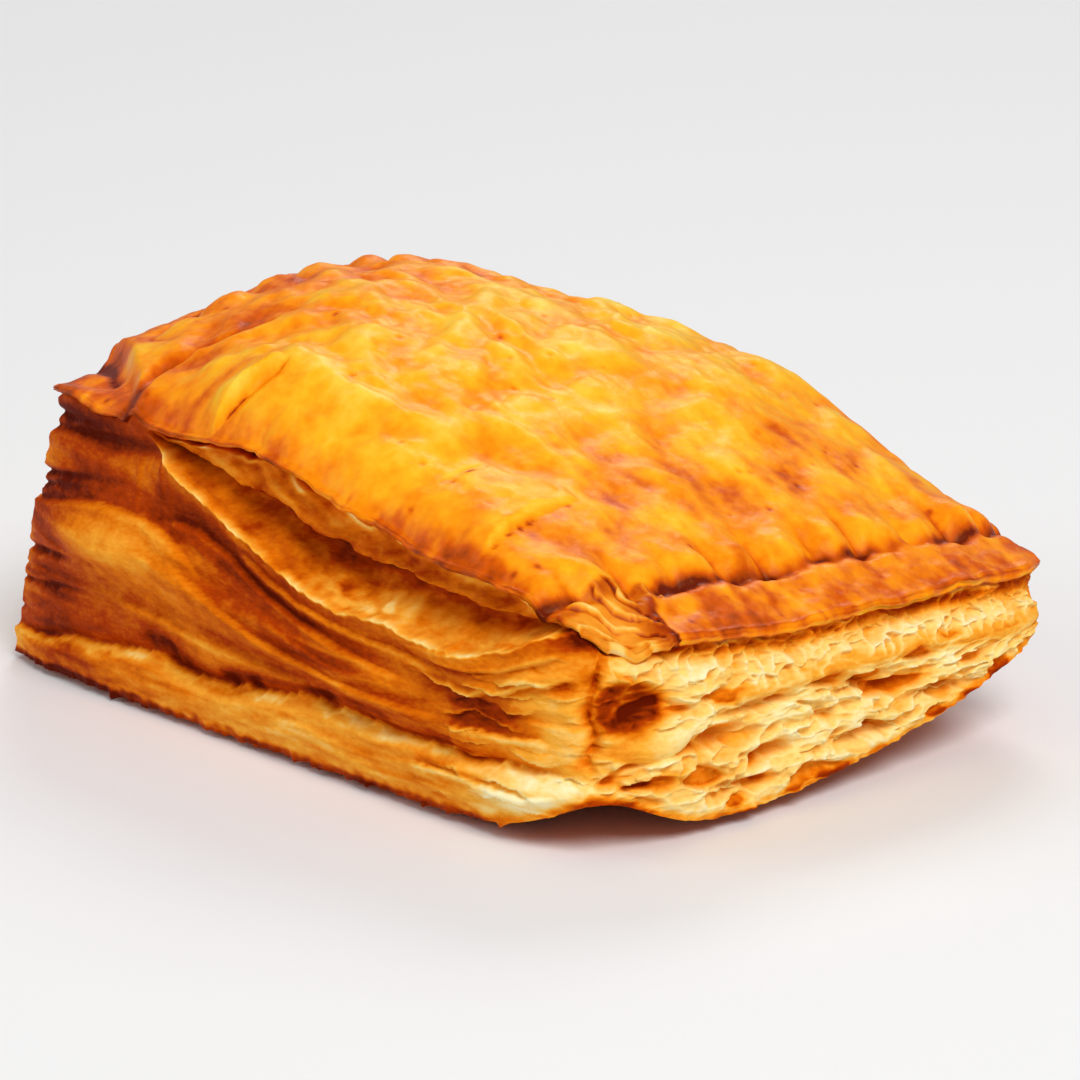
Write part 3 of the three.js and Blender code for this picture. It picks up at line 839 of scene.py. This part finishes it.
def side_sheets(x, y, z, front):
    """Long sides: baked sheets that lie in long soft folds, one over the edge of the next."""
    level = side_level(x, z, front)
    drape = layers(x, y, level, 28, 5.5, 6)
    fold = 1 - 2 * np.abs(layers(x, y, level, 24, 2.8, 7))
    fine = layers(x, y, level, 12, 0.9, 8)
    rough = layers(x, y, level, 2.0, 1.2, 9)
    step = level / SHEET.tall + SHEET.wave * layers(x, y, level, 22, 9, 10)
    part = step - np.floor(step)
    shown = smooth(*SHEET.shown, noise(x / 15, y / 15, np.floor(step) * LAYER_JUMP, 11))
    lap = part**SHEET.lap_power * (1 - smooth(*SHEET.lap_end, part)) * shown
    relief = weighted(SHEET.relief, drape, fold, fine, rough)
    cloud = layers(x, y, level, 20, 2.4, 12)
    tone = SHEET.tone + weighted(SHEET.brown, cloud, fold, fine, rough, drape)
    return relief + lerp(*SHEET.lap, front) * lap, tone - lerp(*SHEET.lap_pale, front) * lap


def torn_flakes(x, y, z):
    """Relief and browning of torn flakes that hang one over the other, paler along their lower edges, with
    painted shade under each.
    """
    wave = weighted(FLAKES.wave, layers(x, y, z, 9, 5, 48), layers(x, y, z, 2.2, 1.5, 49))
    step = z / FLAKES.tall + wave
    part = step - np.floor(step)
    shown = smooth(*FLAKES.shown, noise(x / 6, y / 6, np.floor(step) * 3.1, 64))
    # darker where a flake tucks under the one above: painted shade
    tone = FLAKES.brown * smooth(*FLAKES.brown_from, part) - FLAKES.pale * (1 - smooth(*FLAKES.pale_to, part))
    return FLAKES.proud * shown * (1 - part), shown * tone


def front_lines(x, z):
    """Relief and browning of the sheet edges and grooves that are drawn on the front wall, with painted
    shadow.
    """
    relief = 0
    tone = 0
    wander = weighted(EDGE.wander, layers(x, 0, z, 3.4, 5, 13), layers(x, 0, z, 1.1, 2, 14))
    uneven = EDGE.full + EDGE.uneven * layers(x, 0, z, 5, 5, 15)
    for edge in FRONT_EDGES:
        apart, share = line_place(x, z, edge.line)
        apart = apart + edge.rag * wander
        shown = span(EDGE.start, EDGE.end, share)
        slope = smooth(EDGE.soft, -EDGE.soft, apart) * np.exp(np.minimum(apart, 0) / edge.fade)
        # painted shadow beyond the sheet's edge
        shade = edge.shadow * smooth(*EDGE.shadow, apart) * np.exp(-np.maximum(apart, 0) / EDGE.shadow_fade)
        relief = relief + edge.rise * shown * slope
        tone = tone + shown * (shade - edge.pale * uneven * bell(apart, EDGE.pale_at, EDGE.pale_wide))
    patchy = smooth(*GROOVE.shown, layers(x, 0, z, 8, 8, 78))
    patchy = lerp(lerp(*GROOVE.least, smooth(*GROOVE.whole, x)), 1, patchy)
    for groove in FRONT_GROOVES:
        apart, share = line_place(x, z, groove.line)
        wide = groove.wide * (1 + GROOVE.uneven * wander)
        cut = bell(apart + GROOVE.wander * wander, 0, wide) * (1 - smooth(*GROOVE.fade, share)) * patchy
        cut = cut * (GROOVE.full + GROOVE.uneven * wander)
        relief = relief - groove.deep * cut
        tone = tone + groove.brown * cut
    return relief, tone


def wall_surface(a, b, t):
    x, y, z, relief = wall_form(a, b, t)
    ends = end_share(a, b)
    front = smooth(*ON_FRONT, b)
    crumb, crumb_tone = end_crumb(x, y, z, edge_height(a, b) - z, np.where(a > 0, 1.0, 0.0))
    baked = smooth(*BAKED.patches, layers(x, y, z, 16, 3.5, 75))
    is_open = np.where(a > 0, 1, lerp(*BAKED.is_open, baked))
    sheets, sheet_tone = side_sheets(x, y, z, front)
    lines, line_tone = front_lines(x, z)
    tall_corner = smooth(*ROUND_CORNER.x, x) * smooth(*ROUND_CORNER.y, y)
    drawn = np.where(b < 0, np.maximum(1 - ends, tall_corner), 0)
    streaks = drawn * oval(x - STREAKS.x, z, STREAKS) * layers(x, 0, z, 1.2, 9, 40)
    torn = drawn * smooth(*FLAKES.front, x) * (1 - smooth(*FLAKES.below_lip, z - lip_height(x)))
    torn = torn + np.where(b > 0, 1 - ends, 0) * smooth(*FLAKES.back, layers(x, 0, z, 14, 6, 76))
    flakes, flake_tone = torn_flakes(x, y, z)
    sheets = sheets + drawn * lines + STREAKS.proud * streaks + torn * flakes
    crumb = crumb * (1 - ROUND_CORNER.calm * drawn) + drawn * lines
    below_top = (z - base_height(a, b)) * (1 - t) / np.maximum(t, 0.01)
    tucked = smooth(lerp(*TUCK.start, ends), lerp(*TUCK.full, ends), below_top) * smooth(*TUCK.high, t)
    shown = smooth(*FOOT.shown, t) * (1 - tucked)
    teeth = FOOT.teeth * (patches(x, y, 1.2, 17) + patches(x, y, 4, 18))
    foot = 1 - smooth(0, FOOT.top, t)
    relief = relief + shown * lerp(sheets, crumb, ends * is_open) + foot * teeth - TUCK.deep * tucked
    drip = weighted(FOOT.drops, patches(x, y, 3, 19), patches(x, y, 0.8, 41)) - FOOT.fewer
    z = np.maximum(z - FOOT.drip * foot * np.clip(drip, 0, 1) * (1 - ends), 0)
    stack = drawn * (1 - smooth(*STACK.end, x)) * layers(x, y, z, 30, 1.3, 42)
    pale = is_open * np.where(a > 0, ends, end_share(a, b, END_SOFT))
    tone = lerp(sheet_tone, crumb_tone, pale) + drawn * line_tone + torn * flake_tone
    tone = tone + STREAKS.brown * streaks + STACK.brown * stack
    tone = tone + wall_paint(a, b, t, x, y, z, front * (1 - ends))
    out_x, out_y = outward(a, b)
    return np.stack([x + out_x * relief, y + out_y * relief, z], -1), tone


def pocket_paint(x, z):
    """Browning inside the pocket and on its lip, with painted shade in the gap under the crust and below the
    lip.
    """
    level = pocket_level(x, z)
    inside = browning(
        POCKET_BROWN_AND_SHADE, x=x, level=level, ragged=patches(x, 0, 5, 69), cloud=layers(x, 0, z, 6, 1.8, 60),
        fine_cloud=layers(x, 0, z, 2, 0.9, 61), flaky=layers(x, 0, z, 2.5, 1.2, 80),
    )
    pale = np.clip(LIP.pale + LIP.uneven * patches(x, 0, 4, 70), LIP.least, 1)
    lip = browning(LIP_BROWN_AND_SHADE, x=x, above_lip=z - lip_edge(x), pale=pale)
    return smooth(*POCKET.inside, level) * inside + lip


def crimped_end_paint(y, z):
    # painted shade inside the crimped end's hollow
    tone = END_HOLLOW.brown * smooth(*END_HOLLOW.shown, oval(y - END_HOLLOW.y, z, END_HOLLOW))
    tone = tone * (1 + stripe(z, *END_HOLLOW.heart)) + END_PATCH.brown * oval(y - END_PATCH.y, z, END_PATCH)
    # and painted shade in the gaps between the leaves
    return tone + sum(GAP_SHADE * oval(y - gap.y, z, gap) for gap in END_GAPS)


def wall_paint(a, b, t, x, y, z, front):
    """Browning that belongs to a place on the walls, added to that of their texture, with painted shade in
    places.
    """
    ends = end_share(a, b)
    crimped = ends * (a > 0)
    above_base = z - base_height(a, b)
    opening = pocket_opening(x) * front
    foot_top = lerp(*WALL_FOOT.top, ends) * (1 + WALL_FOOT.rag * patches(x, y, 1.8, 79))
    foot = lerp(*WALL_FOOT.brown, ends) * (1 - smooth(WALL_FOOT.low, foot_top, above_base))
    tone = browning(
        WALL_BROWN_AND_SHADE, x=x, t=t, below_edge=edge_height(a, b) - z, above_base=above_base, crimped=crimped,
        above_crack=z - crack_height(x), layered=layers(x, y, z, 6, 0.9, 50) - 1, closed=1 - opening,
        sides=1 - ends, round_front=(b < 0) * (1 - end_share(a, b, END_SOFT)), away=from_corner(x, y),
        cleft=cleft(x, y, z),
    )
    tone = tone + foot + opening * pocket_paint(x, z) + crimped * crimped_end_paint(y, z)
    return tone + front * browning(FRONT_BROWN_AND_HIGHLIGHT, x=x, z=z, above_lip=z - lip_edge(x))


def place_round(s):
    """a and b at a place round the walls: 0 to 1 on the front, then the crimped end, back and tall end."""
    turns = range(5)
    a = np.interp(np.mod(s, 4), turns, (-1, 1, 1, -1, -1))
    b = np.interp(np.mod(s, 4), turns, (-1, -1, 1, 1, -1))
    return a, b


# Crust


def rim_push(a, b, x, y):
    """How far the uneven edge of the crust is pushed out."""
    push = weighted(CRUST.rim, patches(x, y, 8, 20), patches(x, y, 2.4, 21))
    for dent in RIM_PUSHES:
        push = push + dent.push * bell(x, dent.x, dent.wide) * smooth(*ON_FRONT, b)
    rim = np.maximum(np.abs(a), np.abs(b)) ** RIM_POWER
    return rim * push * (1 - EAR_ZONE.calm * ear_zone(x, y))


def pillow(x, y, seed):
    """Soft swellings with flat tops, 0 to 1."""
    return smooth(*TEXTURE.pillow, noise(x, y, 0, seed))


def crust_texture(x, y):
    """Swellings, pimples, streaks, pits, lumps and mottling of the crust."""
    bend = TEXTURE.bend * patches(x, y, 14, 33)
    swell = TEXTURE.swell * pillow((x + bend) / 9, (y + bend) / 7, 22)
    swell = swell + TEXTURE.small * pillow(x / 4.2, (y + bend) / 3.6, 23) - TEXTURE.level
    near, _, pick = cells(x / 3.6, y / 3.6, 0.5, 26)
    mottle = noise(x / 6, y / 5, 0, 27) + TEXTURE.mottle[0] * noise(x / 2.3, y / 2.1, 0, 53)
    return Sizes(
        swell=swell + TEXTURE.fine * noise(x / 2.2, y / 2, 0, 51),
        pimple=patches(x, y, 1.7, 24),
        streak=smooth(*TEXTURE.crimped, x) * noise(x / 13, y / 1.9, 0, 25),
        pit=bell(near, 0, TEXTURE.pit_wide) * (pick > TEXTURE.pit_pick),
        lumps=weighted(TEXTURE.lumps, patches(x, y, 3.2, 29), patches(x, y, 1.3, 34)),
        mottle=mottle + TEXTURE.mottle[1] * patches(x, y, 1.0, 54),
    )


def crust_paint(a, b, x, y, texture, open_top, rolled):
    """Browning of the crust, apart from the torn corner, with painted highlight and shade on its relief."""
    end_in = (1 - np.abs(a)) * LENGTH / 2
    side_in = (1 - np.abs(b)) * WIDTH / 2
    valley = crimp_valley(b)
    uneven = CRUST_ROLL.full + CRUST_ROLL.uneven * patches(x, y, 3, 71)
    tone = browning(
        CRUST_BROWN_AND_PAINTED_LIGHT, x=x, y=y, end_in=end_in, side_in=side_in, inward=np.minimum(end_in, side_in),
        open_top=open_top, rolled=rolled * uneven, grain=patches(x, y, 1.6, 35), patchy=patches(x, y, 5, 28),
        groove_in=groove_place(a, b), crimped=crimp_reach(end_in), valley=valley, ridge=1 - valley,
        beside_ear=1 - ear_zone(x, y), ear=oval_plan(x, y, EAR), strap=strap_share(x, y),
        ear_pit=line_place(x, y, EAR_PIT.line)[0], ear_crease=line_place(x, y, EAR_CREASE.line)[0],
        **vars(texture),
    )
    dots = smooth(*SLIT.dots_from, patches(x, y, 1.3, 36))
    for slit in SLITS:
        across, present = slit_place(slit, x, y)
        line = dots * stripe(across, *SLIT.dots) + stripe(across, *SLIT.edge)
        line = line + stripe(across, SLIT.flap, -slit.flap / 2, slit.flap / 2)
        # painted shade on the sunk side of the slit and in the valley behind its flap
        behind = bell(across, SLIT.shade.behind * slit.flap, SLIT.shade.behind_wide)
        tone = tone + present * (line + slit.shade * (bell(across, SLIT.shade.at, SLIT.shade.wide) + behind))
    return tone


def crust_surface(a, b):
    """Points of the crust's upper side, their browning, and how much of the crust is missing."""
    x, y = plan_point(a, b, 1)
    end_in = (1 - np.abs(a)) * LENGTH / 2
    side_in = (1 - np.abs(b)) * WIDTH / 2
    open_top = smooth(*OPEN_TOP.side, side_in) * smooth(*OPEN_TOP.end, end_in)
    rolled = span(SHOULDER.start, SHOULDER.end, x)
    texture = crust_texture(x, y)
    swell = lerp(1, TEXTURE.crimped_swell, smooth(*TEXTURE.crimped, x)) * texture.swell
    relief = open_top * (swell + TEXTURE.streak * texture.streak - TEXTURE.pit * texture.pit)
    relief = relief + TEXTURE.pimple * texture.pimple
    relief = relief + (1 - open_top) * (1 - EAR_ZONE.calm * ear_zone(x, y)) * texture.lumps
    lift = SHOULDER.lift * (1 - smooth(*SHOULDER.lift_in, side_in))
    drop = SHOULDER.drop * np.clip(1 - side_in / SHOULDER.wide, 0, 1) ** SHOULDER.power
    z = top_height(a, b, x, y) + relief + rolled * (lift - drop)
    tone = crust_paint(a, b, x, y, texture, open_top, rolled)
    apart, missing = tear_place(x, y)
    part, there = torn_leaves(x, y)
    # each leaf's darker foot and the dark patch by the crust are painted shade
    leaf = LEAVES.foot * (1 - smooth(*LEAVES.foot_to, part)) - LEAVES.edge * smooth(*LEAVES.edge_from, part)
    heart = LEAVES.heart
    dark = heart.brown * bell(x, heart.x, heart.long) * bell(y, heart.y, heart.wide)
    bare = LEAVES.plain + there * leaf + LEAVES.mottle * texture.mottle + dark
    # the darker stripe inside the torn edge is painted shadow
    tone = lerp(tone, bare + stripe(apart, *TEAR.inside), missing) + stripe(apart, *TEAR.edge)
    z = z - missing * (TEAR.drop + LEAVES.step * there * (0.5 - part))
    push = rim_push(a, b, x, y)
    out_x, out_y = outward(a, b)
    torn = bell(np.hypot(x - TORN_EDGE.x, y - TORN_EDGE.y), 0, TORN_EDGE.wide)
    torn = torn * (1 + TORN_EDGE.rag * patches(x, y, 2, 37))
    x = x + out_x * push + TORN_EDGE.pull[0] * torn
    y = y + out_y * push + TORN_EDGE.pull[1] * torn
    return np.stack([x, y, z], -1), tone, missing


def crust_edge(a, b):
    """Rolled edge and hidden underside of the crust, from its top edge inward."""
    top, tone, missing = crust_surface(a, b)
    out_x, out_y = outward(a, b)
    x, y, _ = np.moveaxis(top, -1, 0)
    ends = end_share(a, b)
    thick = lerp(CRUST_THICK.side, CRUST_THICK.end, ends)
    thick = lerp(thick, CRUST_THICK.ear, smooth(*CRUST_THICK.ear_from, x))
    thick = thick + CRUST_THICK.uneven * patches(x, y, 5, 30)
    rows = []
    tones = []
    for turn in np.linspace(0, np.pi, CRUST.roll_steps):
        leaf = noise(x / 9, y / 9, turn * 3.2, 31)
        leaf = leaf + CRUST_ROLL.fine_leaf * noise(x / 2, y / 2, turn * 1.5, 32)
        out = CRUST.roll * np.sin(turn) * (1 + CRUST.uneven * leaf)
        down = thick * (1 - np.cos(turn)) / 2
        rows.append(top + np.stack([out_x * out, out_y * out, -down], -1))
        pale_rim = smooth(*CRUST_ROLL.pale_from, a) * ends * stripe(turn, *CRUST_ROLL.pale)
        # darker as the edge turns under: painted shade; leaf adds uneven tone
        shade = CRUST_ROLL.under * turn / np.pi + CRUST_ROLL.leaf * leaf * np.sin(turn)
        tones.append(tone + shade - pale_rim)
    edge = rows[-1]
    for tuck in CRUST.tuck:
        low = np.full_like(thick, -CRUST.drop * tuck / CRUST.tuck[-1])
        rows.append(edge + np.stack([-out_x * tuck, -out_y * tuck, low], -1))
        tones.append(tone)
    rows.append(np.broadcast_to(HIDDEN_MIDDLE, top.shape))
    tones.append(tone)
    return np.stack(rows), np.stack(tones), np.broadcast_to(missing, np.shape(tones))


# Pieces


def sheet(points, tone, bare, place):
    """A grid of points with its browning and painted light, how bare of crust it is, and its place on the
    piece's map.
    """
    return Sizes(points=points, tone=tone, bare=np.broadcast_to(bare, tone.shape), place=place)


def make_piece(name, sheets, material, creased):
    """One object from sheets whose edges meet. If it is creased, the shading breaks along those edges."""
    points, tones, bares, maps, faces, borders = ([] for _ in range(6))
    start = 0
    for part in sheets:
        rows, columns = part.tone.shape
        index = start + np.arange(rows * columns).reshape(rows, columns)
        quads = [index[:-1, :-1], index[:-1, 1:], index[1:, 1:], index[1:, :-1]]
        faces.append(np.stack(quads, -1).reshape(-1, 4))
        left, low, right, high = part.place
        across, up = np.meshgrid(np.linspace(left, right, columns), np.linspace(low, high, rows))
        maps.append(np.stack([across, up], -1).reshape(-1, 2))
        points.append(part.points.reshape(-1, 3))
        tones.append(part.tone.reshape(-1))
        bares.append(part.bare.reshape(-1))
        border = np.ones((rows, columns), bool)
        border[1:-1, 1:-1] = False
        borders.append(border.reshape(-1))
        start += rows * columns
    points = (np.concatenate(points) - np.array([*MIDDLE, 0])) * MM
    faces = np.concatenate(faces)
    mesh = bpy.data.meshes.new(name)
    mesh.from_pydata(points.tolist(), [], faces.tolist())
    # The brown attribute is browning with painted shade and painted highlight added in places
    for label, values in (("brown", tones), ("bare", bares)):
        mark = mesh.attributes.new(label, "FLOAT", "POINT")
        mark.data.foreach_set("value", np.concatenate(values).astype(np.float32))
    bake = mesh.uv_layers.new(name="OFBake")
    bake.uv.foreach_set("vector", np.concatenate(maps)[faces.ravel()].astype(np.float32).ravel())
    mesh.shade_smooth()
    if creased:
        ends = np.empty(2 * len(mesh.edges), np.int32)
        mesh.edges.foreach_get("vertices", ends)
        on_border = np.concatenate(borders)[ends].reshape(-1, 2).all(1)
        sharp = mesh.attributes.new("sharp_edge", "BOOLEAN", "EDGE")
        sharp.data.foreach_set("value", on_border)
    work = bmesh.new()
    work.from_mesh(mesh)
    bmesh.ops.remove_doubles(work, verts=work.verts, dist=1e-7)
    bmesh.ops.recalc_face_normals(work, faces=work.faces)
    work.to_mesh(mesh)
    work.free()
    mesh.materials.append(material)
    piece = bpy.data.objects.new(name, mesh)
    bpy.context.scene.collection.objects.link(piece)
    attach(piece, "root")
    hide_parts("puff")


def crust_sheets():
    a, b = np.meshgrid(np.linspace(-1, 1, CRUST.columns), np.linspace(-1, 1, CRUST.rows))
    sheets = [sheet(*crust_surface(a, b), (0.0, 0.3, 1.0, 1.0))]
    counts = (CRUST.columns, CRUST.rows, CRUST.columns, CRUST.rows)
    for side, count in enumerate(counts):
        edge_a, edge_b = place_round(np.linspace(side, side + 1, count))
        low = 0.28 - 0.07 * side
        sheets.append(sheet(*crust_edge(edge_a, edge_b), (0.0, low - 0.06, 1.0, low)))
    return sheets


def front_levels(a, b):
    """Heights of the front wall's rows at each place along it: they follow its base crack, lip and ledge."""
    base = base_height(a, b)
    lines = [(crack_height, 0)]
    lines += [(lip_edge, gap) for gap in ROWS.beside_lip]
    lines += [(ledge_edge, gap) for gap in ROWS.beside_ledge]
    knots = [np.zeros_like(a)]
    for k, (line, gap) in enumerate(lines):
        level = np.full_like(a, 0.5)
        for _ in range(ROWS.tries):
            x, y = plan_point(a, b, level)
            z = line(x) + gap
            if line is lip_edge:
                z = z - ROWS.sink * smooth(*ROWS.sunk, x)
            level = np.clip((z - base) / (top_height(a, b, x, y) - base), 0, 1)
        lowest = knots[-1] + ROWS.least * ROWS.counts[k]
        highest = WALL_TOP - ROWS.least * sum(ROWS.counts[k + 1:])
        knots.append(np.minimum(np.maximum(level, lowest), highest))
    knots.append(np.full_like(a, WALL_TOP))
    rows = [lerp(low, high, np.arange(count)[:, None] / count)
            for low, high, count in zip(knots, knots[1:], ROWS.counts)]
    return np.concatenate([*rows, knots[-1][None, :]])


def wall_sheets(side):
    """A wall with the part of the underside below it, closed by hidden faces to the middle of the puff."""
    s = np.linspace(side.start, side.end, side.columns)
    a, b = place_round(s)
    rows = sum(ROWS.counts) + 1
    levels = np.linspace(0, WALL_TOP, rows)[:, None]
    if side.name == "front_side":
        inside = smooth(0, FRONT_EASE, s - side.start) * smooth(0, FRONT_EASE, side.end - s)
        levels = lerp(levels, front_levels(a, b), inside)
    wall, tone = wall_surface(a[None, :], b[None, :], levels)
    rings = [(a * share, b * share) for share in UNDER_RINGS]
    under = np.stack([np.stack([*plan_point(*ring, 0), base_height(*ring)], -1) for ring in rings])
    under[0] = wall[0]
    over = np.stack([lerp(np.array(HIDDEN_MIDDLE), wall[-1], f) for f in TOP_RINGS])
    under_tone = np.full(under.shape[:2], UNDER_TONE)
    under_tone[0] = tone[0]
    sheets = [
        sheet(wall, tone, 1, (0, 0.3, 1, 1)),
        sheet(under, under_tone, 1, (0, 0.1, 1, 0.28)),
        sheet(over, np.tile(tone[-1], (len(TOP_RINGS), 1)), 1, (0, 0.05, 1, 0.09)),
    ]
    shares = 1 - np.linspace(0, 1, len(UNDER_RINGS))
    for end in (0, -1):
        axis = lerp(under[-1, end], over[0, end], np.linspace(0, 1, rows)[:, None])
        closing = np.stack([lerp(axis, wall[:, end], share) for share in shares])
        closing[:, 0] = under[:, end]
        closing[:, -1] = np.stack([lerp(over[0, end], wall[-1, end], share) for share in shares])
        left = 0.02 if end else 0.52
        closing_tone = np.tile(tone[:, end], (len(UNDER_RINGS), 1))
        closing_tone[:, 0] = under_tone[:, end]
        sheets.append(sheet(closing, closing_tone, 1, (left, 0.0, left + 0.45, 0.04)))
    return sheets


# Materials


def colour(red, green, blue):
    """A colour as shaders take it, from the 0 to 255 values of a screen."""
    screen = np.array([red, green, blue]) / 255
    return (*np.where(screen <= 0.04045, screen / 12.92, ((screen + 0.055) / 1.055) ** 2.4), 1.0)


CRUST_RAMP = [
    (0.0, (255, 234, 126)),
    (0.25, (255, 210, 70)),
    (0.45, (255, 182, 26)),
    (0.65, (250, 140, 4)),
    (0.8, (215, 88, 0)),
    (1.0, (110, 24, 0)),
]
LAYER_RAMP = [
    (0.0, (255, 242, 190)),
    (0.2, (255, 214, 122)),
    (0.4, (250, 172, 52)),
    (0.6, (230, 122, 8)),
    (0.8, (178, 60, 0)),
    (1.0, (96, 18, 0)),
]
GLAZED = Sizes(name="glazed crust", flatten=1, mottle=0.14, bump=0.45, rough=0.42, shine=0.16, coat=0.02)
FLAKY = Sizes(name="flaky layers", flatten=2.2, mottle=0.2, bump=0.5, rough=0.6, shine=0.05, coat=0.0)
# Bumps to a metre of the patches, grain and relief in both materials, and the light that both let in
PASTRY = Sizes(
    patches=260, grain=1100, relief=900, relief_detail=5, relief_deep=0.0003, rough_uneven=0.3,
    tint=(1.0, 0.68, 0.28, 1.0), coat_rough=0.25, glow=0.12, glow_colours=(1.0, 0.45, 0.2), glow_deep=0.0012,
)


def add_node(tree, kind, **values):
    made = tree.nodes.new(kind)
    for name, value in values.items():
        made.inputs[name].default_value = value
    return made


def math_node(tree, operation, first, second):
    made = tree.nodes.new("ShaderNodeMath")
    made.operation = operation
    for socket, value in zip(made.inputs, (first, second)):
        if isinstance(value, (int, float)):
            socket.default_value = value
        else:
            tree.links.new(value, socket)
    return made.outputs[0]


def noise_node(tree, place, scale, detail=3):
    made = add_node(tree, "ShaderNodeTexNoise", Scale=scale, Detail=detail)
    tree.links.new(place, made.inputs["Vector"])
    return made.outputs["Fac"]


def ramp_node(tree, stops, place):
    made = tree.nodes.new("ShaderNodeValToRGB")
    marks = made.color_ramp.elements
    while len(marks) < len(stops):
        marks.new(0.5)
    for mark, (position, rgb) in zip(marks, stops):
        mark.position = position
        mark.color = colour(*rgb)
    tree.links.new(place, made.inputs["Fac"])
    return made.outputs["Color"]


def attribute_node(tree, name):
    made = tree.nodes.new("ShaderNodeAttribute")
    made.attribute_name = name
    return made.outputs["Fac"]


def pastry_material(kind):
    material = bpy.data.materials.new(kind.name)
    material.use_nodes = True
    tree = material.node_tree
    shader = tree.nodes["Principled BSDF"]
    stretch = add_node(tree, "ShaderNodeMapping", Scale=(1, 1, kind.flatten))
    tree.links.new(tree.nodes.new("ShaderNodeTexCoord").outputs["Object"], stretch.inputs["Vector"])
    place = stretch.outputs["Vector"]
    spots = math_node(tree, "SUBTRACT", noise_node(tree, place, PASTRY.patches), 0.5)
    grain = math_node(tree, "SUBTRACT", noise_node(tree, place, PASTRY.grain), 0.5)
    # The brown attribute holds browning and, in places, painted shade and painted highlight
    brown = attribute_node(tree, "brown")
    for pattern in (spots, grain):
        brown = math_node(tree, "ADD", brown, math_node(tree, "MULTIPLY", pattern, kind.mottle))
    mix = tree.nodes.new("ShaderNodeMixRGB")
    tree.links.new(attribute_node(tree, "bare"), mix.inputs["Fac"])
    tree.links.new(ramp_node(tree, CRUST_RAMP, brown), mix.inputs["Color1"])
    tree.links.new(ramp_node(tree, LAYER_RAMP, brown), mix.inputs["Color2"])
    tree.links.new(mix.outputs["Color"], shader.inputs["Base Color"])
    uneven = math_node(tree, "ADD", kind.rough, math_node(tree, "MULTIPLY", spots, PASTRY.rough_uneven))
    tree.links.new(uneven, shader.inputs["Roughness"])
    relief = add_node(tree, "ShaderNodeBump", Strength=kind.bump, Distance=PASTRY.relief_deep)
    tree.links.new(noise_node(tree, place, PASTRY.relief, PASTRY.relief_detail), relief.inputs["Height"])
    tree.links.new(relief.outputs["Normal"], shader.inputs["Normal"])
    shader.inputs["Specular IOR Level"].default_value = kind.shine
    shader.inputs["Specular Tint"].default_value = PASTRY.tint
    shader.inputs["Coat Weight"].default_value = kind.coat
    shader.inputs["Coat Roughness"].default_value = PASTRY.coat_rough
    shader.inputs["Subsurface Weight"].default_value = PASTRY.glow
    shader.inputs["Subsurface Radius"].default_value = PASTRY.glow_colours
    shader.inputs["Subsurface Scale"].default_value = PASTRY.glow_deep
    return material


crust_material = pastry_material(GLAZED)
layer_material = pastry_material(FLAKY)
make_piece("crust", crust_sheets(), crust_material, False)
for side in WALLS:
    make_piece(side.name, wall_sheets(side), layer_material, True)

# Floor, light and camera
FLOOR = Sizes(size=4.0, gap=0.0002, colour=(0.86, 0.86, 0.86, 1), rough=0.7)
VIEW = Sizes(azimuth=48, elevation=16, aim=(3.1, 1.6, 20.6), distance=526.5, lens=135, sensor=36)
LIGHTS = [
    Sizes(name="key", place=(1.4, -0.45, 1.7), size=1.2, power=36),
    Sizes(name="fill", place=(-1.4, -1.6, 1.1), size=1.4, power=12),
    Sizes(name="back", place=(-1.2, 1.4, 1.5), size=0.9, power=12),
]
WORLD_STRENGTH = 0.3


def direction(azimuth, elevation):
    round_z, above = np.radians([azimuth, elevation])
    return np.array([np.sin(round_z) * np.cos(above), -np.cos(round_z) * np.cos(above), np.sin(above)])


def facing(place, target):
    """Rotation of a camera or light at a place that looks at a target."""
    return (Vector(place) - Vector(target)).to_track_quat("Z", "Y").to_euler()


def make_floor():
    bpy.ops.mesh.primitive_plane_add(size=FLOOR.size, location=(0, 0, -FLOOR.gap))
    floor = bpy.context.object
    floor.name = "floor"
    material = bpy.data.materials.new("pale floor")
    material.use_nodes = True
    shader = material.node_tree.nodes["Principled BSDF"]
    shader.inputs["Base Color"].default_value = FLOOR.colour
    shader.inputs["Roughness"].default_value = FLOOR.rough
    floor.data.materials.append(material)


def make_lights():
    for light in LIGHTS:
        lamp = bpy.data.lights.new(light.name, "AREA")
        lamp.shape = "DISK"
        lamp.size = light.size
        lamp.energy = light.power
        holder = bpy.data.objects.new(light.name, lamp)
        holder.location = light.place
        holder.rotation_euler = facing(light.place, (0, 0, 0))
        bpy.context.scene.collection.objects.link(holder)
    world = bpy.data.worlds.new("studio")
    world.use_nodes = True
    sky = world.node_tree.nodes["Background"]
    sky.inputs["Color"].default_value = (1, 1, 1, 1)
    sky.inputs["Strength"].default_value = WORLD_STRENGTH
    bpy.context.scene.world = world


def make_camera():
    camera = bpy.data.cameras.new("camera")
    camera.lens = VIEW.lens
    camera.sensor_width = VIEW.sensor
    holder = bpy.data.objects.new("camera", camera)
    aim = np.array(VIEW.aim) * MM
    eye = aim + direction(VIEW.azimuth, VIEW.elevation) * VIEW.distance * MM
    holder.location = eye
    holder.rotation_euler = facing(eye, aim)
    bpy.context.scene.collection.objects.link(holder)
    bpy.context.scene.camera = holder


make_floor()
make_lights()
make_camera()
bpy.context.scene.view_settings.view_transform = "Standard"

bpy.context.view_layer.update()
